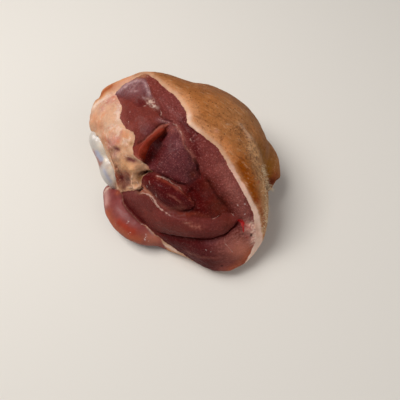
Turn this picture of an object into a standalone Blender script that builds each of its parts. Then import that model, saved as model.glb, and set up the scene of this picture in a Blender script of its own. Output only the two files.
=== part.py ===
"""A raw pork knuckle, lying on its rind with the cut face up. Metres, +Z up, origin under its middle.

The knuckle is modelled square to its cut face: u runs right across the face, v runs up it, and w stands
out of it, all in millimetres. The meat is a loft through closed curves: the middle of the face, the rim
of the cut, the widest line of the rind and the patch that it rests on. Muscles are raised on the face
and the seams between them are sunk. The shank and the loose flap of muscle are joined on, and the shin
bone runs through from the knee joint to the sawn end of the shank.
"""

import math

import bmesh
import bpy
import numpy as np
from mathutils import Euler, Matrix, Vector

MM = 0.001

# How the cut face lies: its middle is this high, it leans towards -Y, and it is turned a little.
FACE_HEIGHT = 48 * MM
FACE_LEAN = math.radians(24.8)
FACE_TURN = math.radians(-8.1)
FACE_MIDDLE = (-8.0, -6.0, 39.0)

# Stations clockwise round the cut, from the top of the knee: the rim of the cut, then the widest
# point of the rind outside it, each as (u, v, w).
STATIONS = [
    ((-30, 85, 9), (-32, 90, -7)),
    ((-16, 77, 17), (-11, 89, -8)),
    ((-3, 61, 27), (11, 82, -11)),
    ((8, 41, 37), (31, 80, -18)),
    ((20, 27, 41), (54, 69, -20)),
    ((33, 17, 40), (70, 54, -20)),
    ((44, -1, 38), (81, 29, -12)),
    ((56, -19, 34), (80, -2, 0)),
    ((66, -37, 24), (80, -29, 5)),
    ((73, -57, 11), (78, -54, 2)),
    ((69, -69, 6), (71, -70, -1)),
    ((53, -84, 5), (54, -86, -1)),
    ((31, -87, 3), (31, -89, -2)),
    ((9, -77, -4), (8, -78, -9)),
    ((-17, -64, -11), (-20, -67, -17)),
    ((-46, -31, -11), (-49, -36, -24)),
    ((-56, -10, -12), (-60, -11, -24)),
    ((-64, 12, -8), (-68, 12, -21)),
    ((-76, 36, -9), (-83, 38, -21)),
    ((-79, 56, -12), (-83.5, 59, -27)),
    ((-67, 71, -8), (-74.5, 78, -26)),
    ((-49, 81, 1), (-53.5, 85.5, -17)),
]

# The loft's fineness, before it is thinned out.
SEGMENTS = 176
FACE_RINGS = 44
FLANK_RINGS = 22
BELLY_RINGS = 18
BASE_RINGS = 6

FACE_FALL = 2.2  # how late the face falls from its middle to the rim
FACE_SMOOTHING = 60  # rounds of evening out between the stations
RELIEF_FADE = 4  # rings over which the relief fades in from the rim
FOOT_INWARD = 0.55  # how far the resting patch lies in from the widest line, for each unit of height
FOOT_EXTRA = 4 * MM
BELLY_STEEP = 0.62
BELLY_FLAT = 0.45

# Muscles that stand out of the face: middle (u, v), half length, half width, turn, height.
MUSCLES = [
    ((-35, 67), 18, 11, 25, 2.0),
    ((-32, 42), 26, 13, -65, 3.0),
    ((-18, 22), 19, 4.5, 57, 4.0),
    ((1, 12), 24, 13, -55, 3.0),
    ((-5, -19), 24, 9.5, -34, 4.0),
    ((4, -46), 44, 10, -10, 3.5),
    ((28, -72), 36, 12, 6, 3.0),
    ((-4, 55), 30, 9, -50, 2.0),
    ((38, -8), 44, 9, -54, 2.5),
    ((-66, 50), 26, 16, 80, 3.0),
    ((-46, 10), 11, 8, -20, 4.0),
    ((-34, 1), 10, 7, 30, 3.5),
]

# Seams between them: the points (u, v) that they run through, half width, depth.
SEAM_STEPS = 160
SEAMS = [
    (((-9, 34), (-14, 23), (-19, 13), (-22, 6)), 4.0, 9.0),
    (((-30, -2), (-19, -6), (-8, -9)), 2.5, 5.0),
    (((-29, -11), (-20, -19), (-10, -28), (2, -35), (17, -35)), 2.2, 3.0),
    (((-8, -9), (4, -14), (14, -21), (19, -31)), 2.2, 3.5),
    (((14, -4), (20, -16), (31, -28), (43, -38)), 4.0, 5.0),
    (((-25, 68), (-18, 55), (-5, 38), (9, 20), (22, -6), (47, -37)), 2.2, 3.0),
    (((-19, -53), (2, -57), (24, -58), (38, -55), (52, -45)), 2.0, 6.5),
    (((-53, 71), (-47, 52), (-41, 34), (-32, 17), (-25, 6)), 2.5, 2.5),
    (((-56, 0), (-49, -9), (-40, -14)), 4.0, 4.0),
    (((-56, -18), (-43, -20), (-29, -17)), 2.2, 3.0),
]

# The shank, from inside the calf to its sawn end: middle x, y, z, half width, half height.
SHANK = [
    (10, 16, 46, 40, 38),
    (40, 12, 40, 39, 37),
    (62, 9.5, 33, 32, 30),
    (75, 4, 28.5, 24.5, 24),
    (82.5, -1.5, 26, 17.5, 19),
    (86.7, -5, 25, 13.5, 15.5),
    (88.7, -7.2, 24.5, 11, 12.5),
]
SHANK_START_ROUND = 25
SHANK_END_ROUND = 1.2

# The loose flap of muscle that lies beside the face, from the knee down, in the same terms.
FLAP = [
    (-68, 8, 13, 9, 10),
    (-63, -9, 14, 13.5, 13),
    (-55.5, -21.5, 14, 15.5, 14),
    (-45, -33, 14, 15.5, 14),
    (-33.5, -41, 12, 13, 12),
    (-27, -45.5, 10, 8, 9),
]
FLAP_ROUND = 7

# The shin bone: its shaft from the knee to the saw cut, and the two knuckles of the joint.
SHAFT = [
    (-62, 34, 35, 24, 14),
    (-42, 30, 35, 18, 14),
    (-15, 24, 34, 11, 11),
    (40, 14, 30, 10, 10),
    (76, 3, 26.5, 9.5, 9.5),
    (89.5, -7.9, 24.5, 8.5, 8.5),
]
KNEE_ROUND = 8
SAW_ROUND = 0.3
KNUCKLE_PLACES = [(-65, 44, 42), (-61, 24, 27)]
KNUCKLE_RADII = (14.5, 18, 15.5)
KNUCKLE_TURN = (-37, 0, 17)

BONE_GAP = 0.45 * MM
BONE_VOXEL = 1.3 * MM
MEAT_TRIANGLES = 8200
BONE_TRIANGLES = 1300
BASE_SNAP = 0.4 * MM

# Colour, roughness.
MEAT_LOOK = ((0.42, 0.17, 0.12), 0.45)
BONE_LOOK = ((0.72, 0.66, 0.56), 0.4)


def face_to_world():
    """The face's frame, in metres, as a matrix."""
    lean = Matrix.Rotation(FACE_LEAN, 4, "X")
    turn = Matrix.Rotation(FACE_TURN, 4, "Z")
    return Matrix.Translation((0, 0, FACE_HEIGHT)) @ lean @ turn


def to_world(points):
    """Face millimetres to world metres."""
    frame = np.array(face_to_world())
    return points * MM @ frame[:3, :3].T + frame[:3, 3]


def curve(points, count, closed):
    """count points along a smooth curve through the given rows."""
    points = np.array(points, float)
    if closed:
        points = np.vstack([points[-1:], points, points[:2]])
        place = np.arange(count) * (len(points) - 3) / count
    else:
        points = np.vstack([2 * points[0] - points[1], points, 2 * points[-1] - points[-2]])
        place = np.linspace(0, len(points) - 3 - 1e-9, count)
    before = place.astype(int)
    part = (place - before)[:, None]
    a, b, c, d = (points[before + step] for step in range(4))
    bend = (2 * a - 5 * b + 4 * c - d) * part**2 + (3 * b - 3 * c + d - a) * part**3
    return b + 0.5 * ((c - a) * part + bend)


def new_object(name, bm):
    bmesh.ops.recalc_face_normals(bm, faces=bm.faces)
    mesh = bpy.data.meshes.new(name)
    bm.to_mesh(mesh)
    bm.free()
    obj = bpy.data.objects.new(name, mesh)
    bpy.context.scene.collection.objects.link(obj)
    return obj


def closed_loft(name, rings):
    """A closed skin over rings of equal count, the first and the last drawn to a point."""
    last, segments = len(rings) - 1, len(rings[0])
    bm = bmesh.new()
    bmesh.ops.create_uvsphere(bm, u_segments=segments, v_segments=last, radius=1)
    for vert in bm.verts:
        ring = round(math.acos(max(-1, min(1, vert.co.z))) / math.pi * last)
        turn = round(-math.atan2(vert.co.y, vert.co.x) / math.tau * segments)
        vert.co = rings[ring][turn % segments]
    return new_object(name, bm)


def relief(u, v):
    """How far the face stands out at (u, v), in millimetres."""
    height = np.zeros(len(u))
    for middle, length, width, turn, rise in MUSCLES:
        angle = math.radians(turn)
        along = (u - middle[0]) * math.cos(angle) + (v - middle[1]) * math.sin(angle)
        across = (v - middle[1]) * math.cos(angle) - (u - middle[0]) * math.sin(angle)
        inside = np.clip(1 - (along / length) ** 2 - (across / width) ** 2, 0, 1)
        height += rise * inside**2 * (3 - 2 * inside)
    for points, width, depth in SEAMS:
        line = curve(points, SEAM_STEPS, closed=False)
        away = np.hypot(u[:, None] - line[:, 0], v[:, None] - line[:, 1]).min(axis=1)
        height -= depth * np.exp(-((away / width) ** 2))
    return height


def face_rings(rim):
    """Rings from the middle of the face out to the rim of the cut, with the muscles on them."""
    middle = np.array(FACE_MIDDLE)
    share = np.arange(FACE_RINGS + 1)[:, None] / FACE_RINGS
    level = middle[2] + (rim[:, 2] - middle[2]) * share**FACE_FALL
    for _ in range(FACE_SMOOTHING):
        around = np.roll(level, 1, axis=1) + np.roll(level, -1, axis=1)
        level[1:-1] = (around[1:-1] + level[:-2] + level[2:]) / 4
        level[0] = level[1].mean()
    for i in range(FACE_RINGS):
        ring = middle + (rim - middle) * share[i]
        fade = min(1, (FACE_RINGS - i) / RELIEF_FADE)
        ring[:, 2] = level[i] + relief(ring[:, 0], ring[:, 1]) * fade
        yield to_world(ring)


def flank_rings(rim, side):
    """Rings that round the rind over from the rim to its widest line."""
    for i in range(FLANK_RINGS):
        angle = math.pi / 2 * i / FLANK_RINGS
        ring = rim + (side - rim) * math.sin(angle)
        ring[:, 2] = side[:, 2] + (rim[:, 2] - side[:, 2]) * math.cos(angle)
        yield to_world(ring)


def belly_rings(side):
    """Rings that curve in from the widest line to the flat resting patch, and close it."""
    top = to_world(side)
    height = top[:, 2:]
    centre = top[:, :2].mean(axis=0)
    inward = centre - top[:, :2]
    inward /= np.linalg.norm(inward, axis=1)[:, None]
    foot = np.hstack([top[:, :2] + inward * (FOOT_INWARD * height + FOOT_EXTRA), height * 0])
    down = -np.array(face_to_world().to_3x3().col[2])
    first = top + down * height * BELLY_STEEP
    second = foot.copy()
    second[:, :2] -= inward * BELLY_FLAT * height
    for i in range(BELLY_RINGS):
        s = i / BELLY_RINGS
        yield top * (1 - s) ** 3 + 3 * first * s * (1 - s) ** 2 + 3 * second * s**2 * (1 - s) + foot * s**3
    for i in range(BASE_RINGS + 1):
        ring = foot.copy()
        ring[:, :2] += (centre - foot[:, :2]) * i / BASE_RINGS
        yield ring


def make_tube(name, stations, start_round, end_round, count, segments):
    """A tube along stations of (x, y, z, half width, half height), with rounded ends."""
    rows = np.array(stations, float)
    first = rows[0, :3] - rows[1, :3]
    final = rows[-1, :3] - rows[-2, :3]
    first *= start_round / np.linalg.norm(first)
    final *= end_round / np.linalg.norm(final)
    steps = np.linspace(0, math.pi / 2, 6)[:-1]
    size = np.maximum(np.sin(steps), 0.01)[:, None]
    head = np.hstack([rows[0, :3] + np.outer(np.cos(steps), first), rows[0, 3:] * size])
    tail = np.hstack([rows[-1, :3] + np.outer(np.cos(steps), final), rows[-1, 3:] * size])
    line = curve(np.vstack([head, rows, tail[::-1]]), count, closed=False)
    path = line[:, :3]
    along = np.gradient(path, axis=0)
    along /= np.linalg.norm(along, axis=1)[:, None]
    side = np.cross((0, 0, 1), along)
    side /= np.linalg.norm(side, axis=1)[:, None]
    up = np.cross(along, side)
    angle = np.arange(segments) * math.tau / segments
    rings = []
    for k in range(count):
        across = np.outer(np.cos(angle) * line[k, 3], side[k]) + np.outer(np.sin(angle) * line[k, 4], up[k])
        rings.append((path[k] + across) * MM)
    return closed_loft(name, rings)


def apply(obj, kind, **settings):
    """Adds a modifier with these settings and applies it."""
    modifier = obj.modifiers.new(kind, kind)
    for key, value in settings.items():
        setattr(modifier, key, value)
    with bpy.context.temp_override(object=obj, active_object=obj, selected_objects=[obj]):
        bpy.ops.object.modifier_apply(modifier=modifier.name)


def combine(obj, other, operation):
    """Joins another object to this one, or cuts it out, and removes it."""
    other.hide_render = True
    other.display_type = "WIRE"
    apply(obj, "BOOLEAN", object=other, operation=operation, solver="EXACT")
    bpy.data.objects.remove(other)


def thin_out(obj, triangles):
    """Leaves about that many triangles, with the resting patch flat at height 0."""
    obj.data.calc_loop_triangles()
    ratio = triangles / len(obj.data.loop_triangles)
    apply(obj, "DECIMATE", ratio=ratio, use_collapse_triangulate=True)
    for vert in obj.data.vertices:
        if vert.co.z < BASE_SNAP:
            vert.co.z = 0


def make_meat():
    rim = curve([rim for rim, _ in STATIONS], SEGMENTS, closed=True)
    side = curve([side for _, side in STATIONS], SEGMENTS, closed=True)
    meat = closed_loft("meat", [*face_rings(rim), *flank_rings(rim, side), *belly_rings(side)])
    combine(meat, make_tube("shank", SHANK, SHANK_START_ROUND, SHANK_END_ROUND, 40, 96), "UNION")
    combine(meat, make_tube("flap", FLAP, FLAP_ROUND, FLAP_ROUND, 40, 48), "UNION")
    thin_out(meat, MEAT_TRIANGLES)
    return meat


def make_bone():
    bone = make_tube("shank_bone", SHAFT, KNEE_ROUND, SAW_ROUND, 60, 48)
    turn = Euler([math.radians(angle) for angle in KNUCKLE_TURN])
    for centre in KNUCKLE_PLACES:
        bm = bmesh.new()
        place = Matrix.LocRotScale(Vector(centre) * MM, turn, Vector(KNUCKLE_RADII) * MM)
        bmesh.ops.create_icosphere(bm, subdivisions=4, radius=1, matrix=place)
        combine(bone, new_object("knuckle", bm), "UNION")
    apply(bone, "REMESH", mode="VOXEL", voxel_size=BONE_VOXEL)
    apply(bone, "SMOOTH", factor=0.5, iterations=6)
    thin_out(bone, BONE_TRIANGLES)
    return bone


def swollen_copy(obj, gap):
    """A copy of a body that is larger by the gap all round."""
    copy = obj.copy()
    copy.data = obj.data.copy()
    bpy.context.scene.collection.objects.link(copy)
    normals = [vert.normal.copy() for vert in copy.data.vertices]
    for vert, normal in zip(copy.data.vertices, normals):
        vert.co += normal * gap
    return copy


def finish(objects):
    """Moves everything so that the origin is under the middle, and gives each its material."""
    corners = [vert.co for obj in objects for vert in obj.data.vertices]
    low = [min(corner[axis] for corner in corners) for axis in range(3)]
    high = [max(corner[axis] for corner in corners) for axis in range(3)]
    shift = -Vector(((low[0] + high[0]) / 2, (low[1] + high[1]) / 2, low[2]))
    for obj, (colour, roughness) in zip(objects, (MEAT_LOOK, BONE_LOOK)):
        obj.data.transform(Matrix.Translation(shift))
        material = bpy.data.materials.new(obj.name)
        material.use_nodes = True
        shader = material.node_tree.nodes["Principled BSDF"]
        shader.inputs["Base Color"].default_value = (*colour, 1)
        shader.inputs["Roughness"].default_value = roughness
        shader.inputs["Metallic"].default_value = 0
        obj.data.materials.clear()
        obj.data.materials.append(material)
    print("moved by", *(round(step, 5) for step in shift))


def main():
    for obj in list(bpy.data.objects):
        bpy.data.objects.remove(obj)
    meat = make_meat()
    bone = make_bone()
    combine(meat, swollen_copy(bone, BONE_GAP), "DIFFERENCE")
    finish([meat, bone])


main()
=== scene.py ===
# %% [markdown]
# # A raw pork knuckle, skinned and painted
#
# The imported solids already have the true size, the muscles in low relief and the shin bone. This lesson turns
# them into meat: a fine skin that is copied from the solid and sculpted by rule, colours that are laid on it
# like washes of paint, and a few small pieces on top, such as the silverskin, the bristles and the stubble.
# Everything stays in the frame of the solids, in metres.

import math
import random

import bmesh
import bpy
import numpy as np
from mathutils import Matrix, Vector, noise
from mathutils.bvhtree import BVHTree


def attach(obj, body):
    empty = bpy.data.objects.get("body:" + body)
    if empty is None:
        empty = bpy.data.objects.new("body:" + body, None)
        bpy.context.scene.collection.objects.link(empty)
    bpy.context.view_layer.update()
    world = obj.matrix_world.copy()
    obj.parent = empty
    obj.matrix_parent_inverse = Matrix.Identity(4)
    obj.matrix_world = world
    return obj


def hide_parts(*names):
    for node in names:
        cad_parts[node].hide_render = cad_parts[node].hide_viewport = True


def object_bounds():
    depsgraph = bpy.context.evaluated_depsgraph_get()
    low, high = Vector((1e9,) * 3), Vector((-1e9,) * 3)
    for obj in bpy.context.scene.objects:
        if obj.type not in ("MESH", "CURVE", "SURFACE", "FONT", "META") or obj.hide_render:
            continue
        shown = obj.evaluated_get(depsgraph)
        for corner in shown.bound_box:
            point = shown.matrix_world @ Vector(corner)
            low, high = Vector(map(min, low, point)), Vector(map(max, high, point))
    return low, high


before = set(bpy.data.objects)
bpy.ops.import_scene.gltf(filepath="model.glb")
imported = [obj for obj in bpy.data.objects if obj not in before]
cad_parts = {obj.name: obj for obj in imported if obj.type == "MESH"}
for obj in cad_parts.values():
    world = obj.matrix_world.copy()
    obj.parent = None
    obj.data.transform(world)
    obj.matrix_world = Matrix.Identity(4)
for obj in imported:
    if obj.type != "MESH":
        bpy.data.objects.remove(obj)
cad_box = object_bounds()
print("box of the solids", cad_box)

# %% [markdown]
# ## The cut face as a drawing board
#
# The knuckle was cut open, and the cut leans towards the viewer. It is easiest to say where a muscle or a seam
# lies by measuring on the cut itself: u runs right, v runs up and w stands out of it, in millimetres. One
# matrix carries these to metres. The photograph was taken straight onto the cut, so the camera looks along -w.

# %% The face's frame and the camera
MM = 0.001
FACE_PLACE = (-0.00879, -0.00556, 0.048)
FACE_LEAN = math.radians(24.8)
FACE_TURN = math.radians(-8.1)
FACE = (
    Matrix.Translation(FACE_PLACE)
    @ Matrix.Rotation(FACE_LEAN, 4, "X")
    @ Matrix.Rotation(FACE_TURN, 4, "Z")
)
OUTWARD = FACE.to_3x3().col[2]

CAMERA_AT = (19.7, -25.1, 387.7)
LENS = 38.88
SENSOR = 36


def to_metres(u, v, w):
    """A point of the face's frame, in millimetres, as a point of the model."""
    return FACE @ (Vector((u, v, w)) * MM)


def facing_way(u, v, w):
    """A direction of the face's frame as a direction of the model."""
    return FACE.to_3x3() @ Vector((u, v, w))


camera_data = bpy.data.cameras.new("camera")
camera_data.lens = LENS
camera_data.sensor_width = SENSOR
camera = bpy.data.objects.new("camera", camera_data)
camera.matrix_world = FACE
camera.location = to_metres(*CAMERA_AT)
bpy.context.scene.collection.objects.link(camera)
bpy.context.scene.camera = camera
print("camera at", tuple(round(x, 4) for x in camera.location))

# %% [markdown]
# ## Shader maths that reads like a formula
#
# A material is a net of nodes. Written link by link it is hard to follow, so one small class wraps a socket:
# plus, minus and times on it add the Math nodes. Colours go through Mix and Vector Math instead, because a Math
# node would turn them grey. Every other node comes from one method, add.

# %% A socket with arithmetic
class Shade:
    """One socket of a material's nodes."""

    tree = None

    def __init__(self, socket):
        self.socket = socket

    @classmethod
    def add(cls, kind, settings, values, output=0):
        """Adds a node: first its settings, then the values or links of its sockets."""
        made = cls.tree.nodes.new(kind)
        for name, setting in settings.items():
            setattr(made, name, setting)
        for name, value in values.items():
            if isinstance(value, Shade):
                cls.tree.links.new(value.socket, made.inputs[name])
            else:
                made.inputs[name].default_value = value
        return cls(made.outputs[output])

    def maths(self, operation, other, swapped=False):
        first, second = (other, self) if swapped else (self, other)
        return self.add("ShaderNodeMath", {"operation": operation}, {0: first, 1: second})

    def __add__(self, other):
        return self.maths("ADD", other)

    def __radd__(self, other):
        return self.maths("ADD", other, swapped=True)

    def __sub__(self, other):
        return self.maths("SUBTRACT", other)

    def __rsub__(self, other):
        return self.maths("SUBTRACT", other, swapped=True)

    def __mul__(self, other):
        return self.maths("MULTIPLY", other)

    def __rmul__(self, other):
        return self.maths("MULTIPLY", other, swapped=True)

# %% [markdown]
# ## Names for the nodes
#
# The nodes that are needed again and again get a short name each, so that a material reads like a recipe: clouds
# for soft noise, cells for pores, rise for a soft step, and mix to lay one colour over another.

# %% Helpers for materials
def new_material(name):
    """An empty material, whose nodes are added next."""
    material = bpy.data.materials.new(name)
    material.use_nodes = True
    material.node_tree.nodes.clear()
    Shade.tree = material.node_tree
    return material


def finish_material(values):
    """Adds the shader and joins it to the material's output."""
    shader = Shade.add("ShaderNodeBsdfPrincipled", {}, values)
    output = Shade.tree.nodes.new("ShaderNodeOutputMaterial")
    Shade.tree.links.new(shader.socket, output.inputs["Surface"])


def mix(amount, first, second, blend="MIX"):
    """The first colour, then the second as the amount grows."""
    settings = {"data_type": "RGBA", "blend_type": blend}
    return Shade.add("ShaderNodeMix", settings, {0: amount, 6: first, 7: second}, output=2)


def scaled(colour, amount):
    """A colour made brighter or darker."""
    return Shade.add("ShaderNodeVectorMath", {"operation": "SCALE"}, {"Vector": colour, "Scale": amount})


def rise(value, start, end):
    """0 below start, 1 above end, and smooth between them."""
    values = {"Value": value, "From Min": start, "From Max": end}
    return Shade.add("ShaderNodeMapRange", {"interpolation_type": "SMOOTHSTEP"}, values)

# %% [markdown]
# ## Patterns and where they lie
#
# All the fine detail comes from a few patterns: soft noise, irregular cells and stretched coordinates that make
# them run one way. Attributes that were stored on the mesh are read by painted.

# %% Helpers for patterns
def clouds(place, scale, detail=2.0, roughness=0.5, distortion=0.0):
    """Soft noise from 0 to 1."""
    values = {"Vector": place, "Scale": scale, "Detail": detail, "Roughness": roughness, "Distortion": distortion}
    return Shade.add("ShaderNodeTexNoise", {}, values)


def cells(place, scale, feature="F1", output=0, randomness=1.0):
    """Distance from the middles, or from the edges, of irregular cells."""
    values = {"Vector": place, "Scale": scale, "Randomness": randomness}
    return Shade.add("ShaderNodeTexVoronoi", {"feature": feature}, values, output)


def stretched(place, stretch, turn=(0, 0, 0)):
    """Coordinates stretched along an axis, so that a pattern on them runs that way."""
    return Shade.add("ShaderNodeMapping", {}, {"Vector": place, "Scale": stretch, "Rotation": turn})


def streaked(place, way, length):
    """Coordinates on which a pattern runs along a direction, so many times longer than it is wide."""
    turn = Vector(way).to_track_quat("X", "Z").to_euler()
    values = {"Vector": place, "Rotation": tuple(turn), "Scale": (length, 1, 1)}
    return Shade.add("ShaderNodeMapping", {"vector_type": "TEXTURE"}, values)


def object_place():
    """Where a point lies, in metres, on the finished piece."""
    return Shade.add("ShaderNodeTexCoord", {}, {}, output=3)


def painted(name, output=0):
    """An attribute that was laid on the mesh: as a colour, or as a vector with output 1."""
    return Shade.add("ShaderNodeAttribute", {"attribute_name": name}, {}, output)


def channel(vector, which):
    """One number out of three."""
    return Shade.add("ShaderNodeSeparateXYZ", {}, {"Vector": vector}, output=which)


def bump(height, strength, distance):
    """Small relief that the mesh is too coarse for."""
    return Shade.add("ShaderNodeBump", {}, {"Strength": strength, "Distance": distance, "Height": height})


def tone(red, green, blue):
    """A colour named as a screen shows it, 0 to 255, as the numbers that a shader takes."""
    return tuple(((c / 255 + 0.055) / 1.055) ** 2.4 if c > 10 else c / 255 / 12.92 for c in (red, green, blue)) + (1,)


# %% [markdown]
# ## Studio
#
# The light on the meat comes from a big window to the upper left, so one large soft lamp stands there. A weak
# one on the right keeps the shaded side readable, and a dim world and a pale floor give the rest. Nothing here
# is part of the object.

# %% Floor, lamps and world
FLOOR_SIDE = 3.0
FLOOR_DROP = 0.0002
FLOOR_TONE = tone(218, 213, 206)
WORLD_LIGHT = 0.22
WORLD_TONE = (1, 0.99, 0.98, 1)
LIT_PLACE = (0, 0, 0.04)
LAMPS = {
    "window": ((-0.42, 0.2, 0.95), 0.6, 10.5, (1, 0.985, 0.96)),
    "fill": ((0.7, -0.55, 0.6), 0.9, 2.4, (1, 0.99, 0.98)),
}


def new_piece(name, bm):
    """A bmesh as an object at the origin, smooth shaded."""
    mesh = bpy.data.meshes.new(name)
    bm.to_mesh(mesh)
    bm.free()
    mesh.shade_smooth()
    piece = bpy.data.objects.new(name, mesh)
    bpy.context.scene.collection.objects.link(piece)
    return piece


def add_lamp(name, place, size, watts, colour):
    """A square area lamp that faces the knuckle."""
    lamp = bpy.data.lights.new(name, "AREA")
    lamp.size = size
    lamp.energy = watts
    lamp.color = colour
    holder = bpy.data.objects.new(name, lamp)
    holder.location = place
    holder.rotation_mode = "QUATERNION"
    holder.rotation_quaternion = (Vector(LIT_PLACE) - Vector(place)).to_track_quat("-Z", "Y")
    bpy.context.scene.collection.objects.link(holder)


bm = bmesh.new()
bmesh.ops.create_grid(bm, x_segments=2, y_segments=2, size=FLOOR_SIDE / 2)
bmesh.ops.translate(bm, vec=(0, 0, -FLOOR_DROP), verts=bm.verts)
floor = new_piece("floor", bm)
floor.data.materials.append(new_material("pale floor"))
finish_material({"Base Color": FLOOR_TONE, "Roughness": 0.9})

for name, settings in LAMPS.items():
    add_lamp(name, *settings)
world = bpy.data.worlds.new("world")
world.use_nodes = True
world.node_tree.nodes["Background"].inputs["Color"].default_value = WORLD_TONE
world.node_tree.nodes["Background"].inputs["Strength"].default_value = WORLD_LIGHT
bpy.context.scene.world = world
bpy.context.scene.view_settings.view_transform = "Standard"
print("lamps:", len(LAMPS))

# %% [markdown]
# ## A fine skin from the coarse solid
#
# The solid has flat facets a few millimetres wide. Its copy is merged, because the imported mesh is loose
# triangles, and remeshed into small even squares. Smoothing takes the facets away.

# %% Copy, remesh and smooth
VOXEL = 1.55 * MM
SMOOTHINGS = 8


def merged_copy(node):
    """A CAD node's mesh as a bmesh, with its loose triangles joined."""
    bm = bmesh.new()
    bm.from_mesh(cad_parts[node].data)
    bmesh.ops.remove_doubles(bm, verts=bm.verts, dist=0.01 * MM)
    for face in bm.faces:
        face.material_index = 0
    return bm


def remeshed(piece, voxel):
    """The piece's mesh as small even squares."""
    modifier = piece.modifiers.new("remesh", "REMESH")
    modifier.mode = "VOXEL"
    modifier.voxel_size = voxel
    modifier.use_smooth_shade = True
    depsgraph = bpy.context.evaluated_depsgraph_get()
    mesh = bpy.data.meshes.new_from_object(piece.evaluated_get(depsgraph))
    piece.modifiers.clear()
    old, piece.data = piece.data, mesh
    bpy.data.meshes.remove(old)
    mesh.name = piece.name


def smoothed(piece, times, chosen=None):
    """Rounds of evening out, of all the points or of those that a test on a place chooses. Returns their number."""
    bm = bmesh.new()
    bm.from_mesh(piece.data)
    verts = [vert for vert in bm.verts if chosen is None or chosen(vert.co)]
    for _ in range(times):
        bmesh.ops.smooth_vert(bm, verts=verts, factor=0.5, use_axis_x=True, use_axis_y=True, use_axis_z=True)
    bm.to_mesh(piece.data)
    bm.free()
    return len(verts)


meat = new_piece("knuckle_meat", merged_copy("meat"))
remeshed(meat, VOXEL)
smoothed(meat, SMOOTHINGS)
print("remeshed skin:", len(meat.data.polygons), "squares")

# %% [markdown]
# ## Curves through a few points
#
# A muscle, a seam or a fold is drawn below as a few points, and a smooth curve is run through them. From such a
# line three numbers are measured: how far away a point is, on which side, and how far along.

# %% Smooth lines and distances
CURVE_STEPS = 3


def smooth_line(points, closed=False):
    """More points along a smooth curve through the given ones."""
    rows = np.array(points, float)
    if closed:
        rows = np.vstack([rows[-1:], rows, rows[:2]])
        spans = len(points)
    else:
        rows = np.vstack([2 * rows[0] - rows[1], rows, 2 * rows[-1] - rows[-2]])
        spans = len(points) - 1
    place = np.arange(spans * CURVE_STEPS + 1) / CURVE_STEPS
    before = np.minimum(place.astype(int), spans - 1)
    part = (place - before)[:, None]
    a, b, c, d = (rows[before + step] for step in range(4))
    bend = (2 * a - 5 * b + 4 * c - d) * part**2 + (3 * b - 3 * c + d - a) * part**3
    return b + 0.5 * ((c - a) * part + bend)


def away_from(line, u, v):
    """Distance from each point to a line, its signed side, and how far along the line the nearest place is."""
    nearest = np.full(len(u), 1e9)
    side = np.zeros(len(u))
    along = np.zeros(len(u))
    start = 0.0
    for (au, av), (bu, bv) in zip(line, line[1:]):
        du, dv = bu - au, bv - av
        length = math.hypot(du, dv)
        if length < 1e-9:
            continue
        share = np.clip(((u - au) * du + (v - av) * dv) / length**2, 0, 1)
        away = np.hypot(u - au - share * du, v - av - share * dv)
        better = away < nearest
        nearest[better] = away[better]
        side[better] = np.sign(du * (v - av) - dv * (u - au))[better]
        along[better] = start + share[better] * length
        start += length
    return nearest, side, along


def inside(line, u, v):
    """Which points a closed line holds."""
    held = np.zeros(len(u), bool)
    for (au, av), (bu, bv) in zip(line, line[1:]):
        if abs(av - bv) > 1e-9:
            crosses = (av > v) != (bv > v)
            held ^= crosses & (u < (bu - au) * (v - av) / (bv - av) + au)
    return held


# %% [markdown]
# ## Outlines of the muscles
#
# A butcher's cut shows each muscle as a closed shape with pale skin round it. The shapes are drawn here in face
# millimetres. From such an outline one number tells everything: how far inside it a point lies. Relief, colour
# and grain all follow from that number.

# %% The lean and its muscles
LEAN = [
    (-56, 71), (-50.5, 76), (-45, 79), (-39.5, 82), (-34, 84), (-30, 85), (-25, 83.5), (-20, 80), (-16.5, 76.5),
    (-13, 72.5), (-9.5, 69), (-6, 66), (0, 60.5), (5, 53), (8.5, 46), (9.5, 37.5), (15, 31.7), (20, 28), (25, 23.8),
    (31, 19.5), (35, 15), (38.5, 10), (41.5, 5), (44, 0), (46.5, -4), (49.5, -9.5), (52.5, -14.5), (55, -18.5),
    (57.8, -24), (59.7, -27.5), (62, -31), (64, -35.5), (65, -39), (65.5, -44), (67, -50), (68.5, -55), (68.5, -60),
    (66.5, -66), (63.5, -73), (60.5, -79), (57, -85), (48, -90), (36, -92), (25, -89), (17, -83), (9, -77),
    (-1, -70.5), (-8, -65), (-14, -61), (-19, -58.5), (-24, -54), (-28.5, -49.5), (-33, -46.5), (-36.5, -44),
    (-40.5, -39.5), (-45.5, -35.5), (-50, -30), (-52.5, -24), (-54, -19), (-50, -17.5), (-42, -17), (-34, -16.5),
    (-30, -15.5), (-29, -10), (-28, -6), (-24, -3.5), (-19.5, -2.5), (-20, -1), (-21.5, 0.8), (-25, 3.5), (-28, 5.5),
    (-30.5, 7.5), (-33, 10.5), (-34.8, 14), (-35.8, 18), (-35.5, 21), (-34.5, 25), (-34.5, 29), (-36.5, 32),
    (-40, 33.5), (-43, 35.5), (-46, 40), (-48.5, 44.5), (-49, 47.5), (-48, 51), (-47.5, 54.5), (-49.5, 58.5),
    (-51.5, 62.5), (-54, 67),
]
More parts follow.
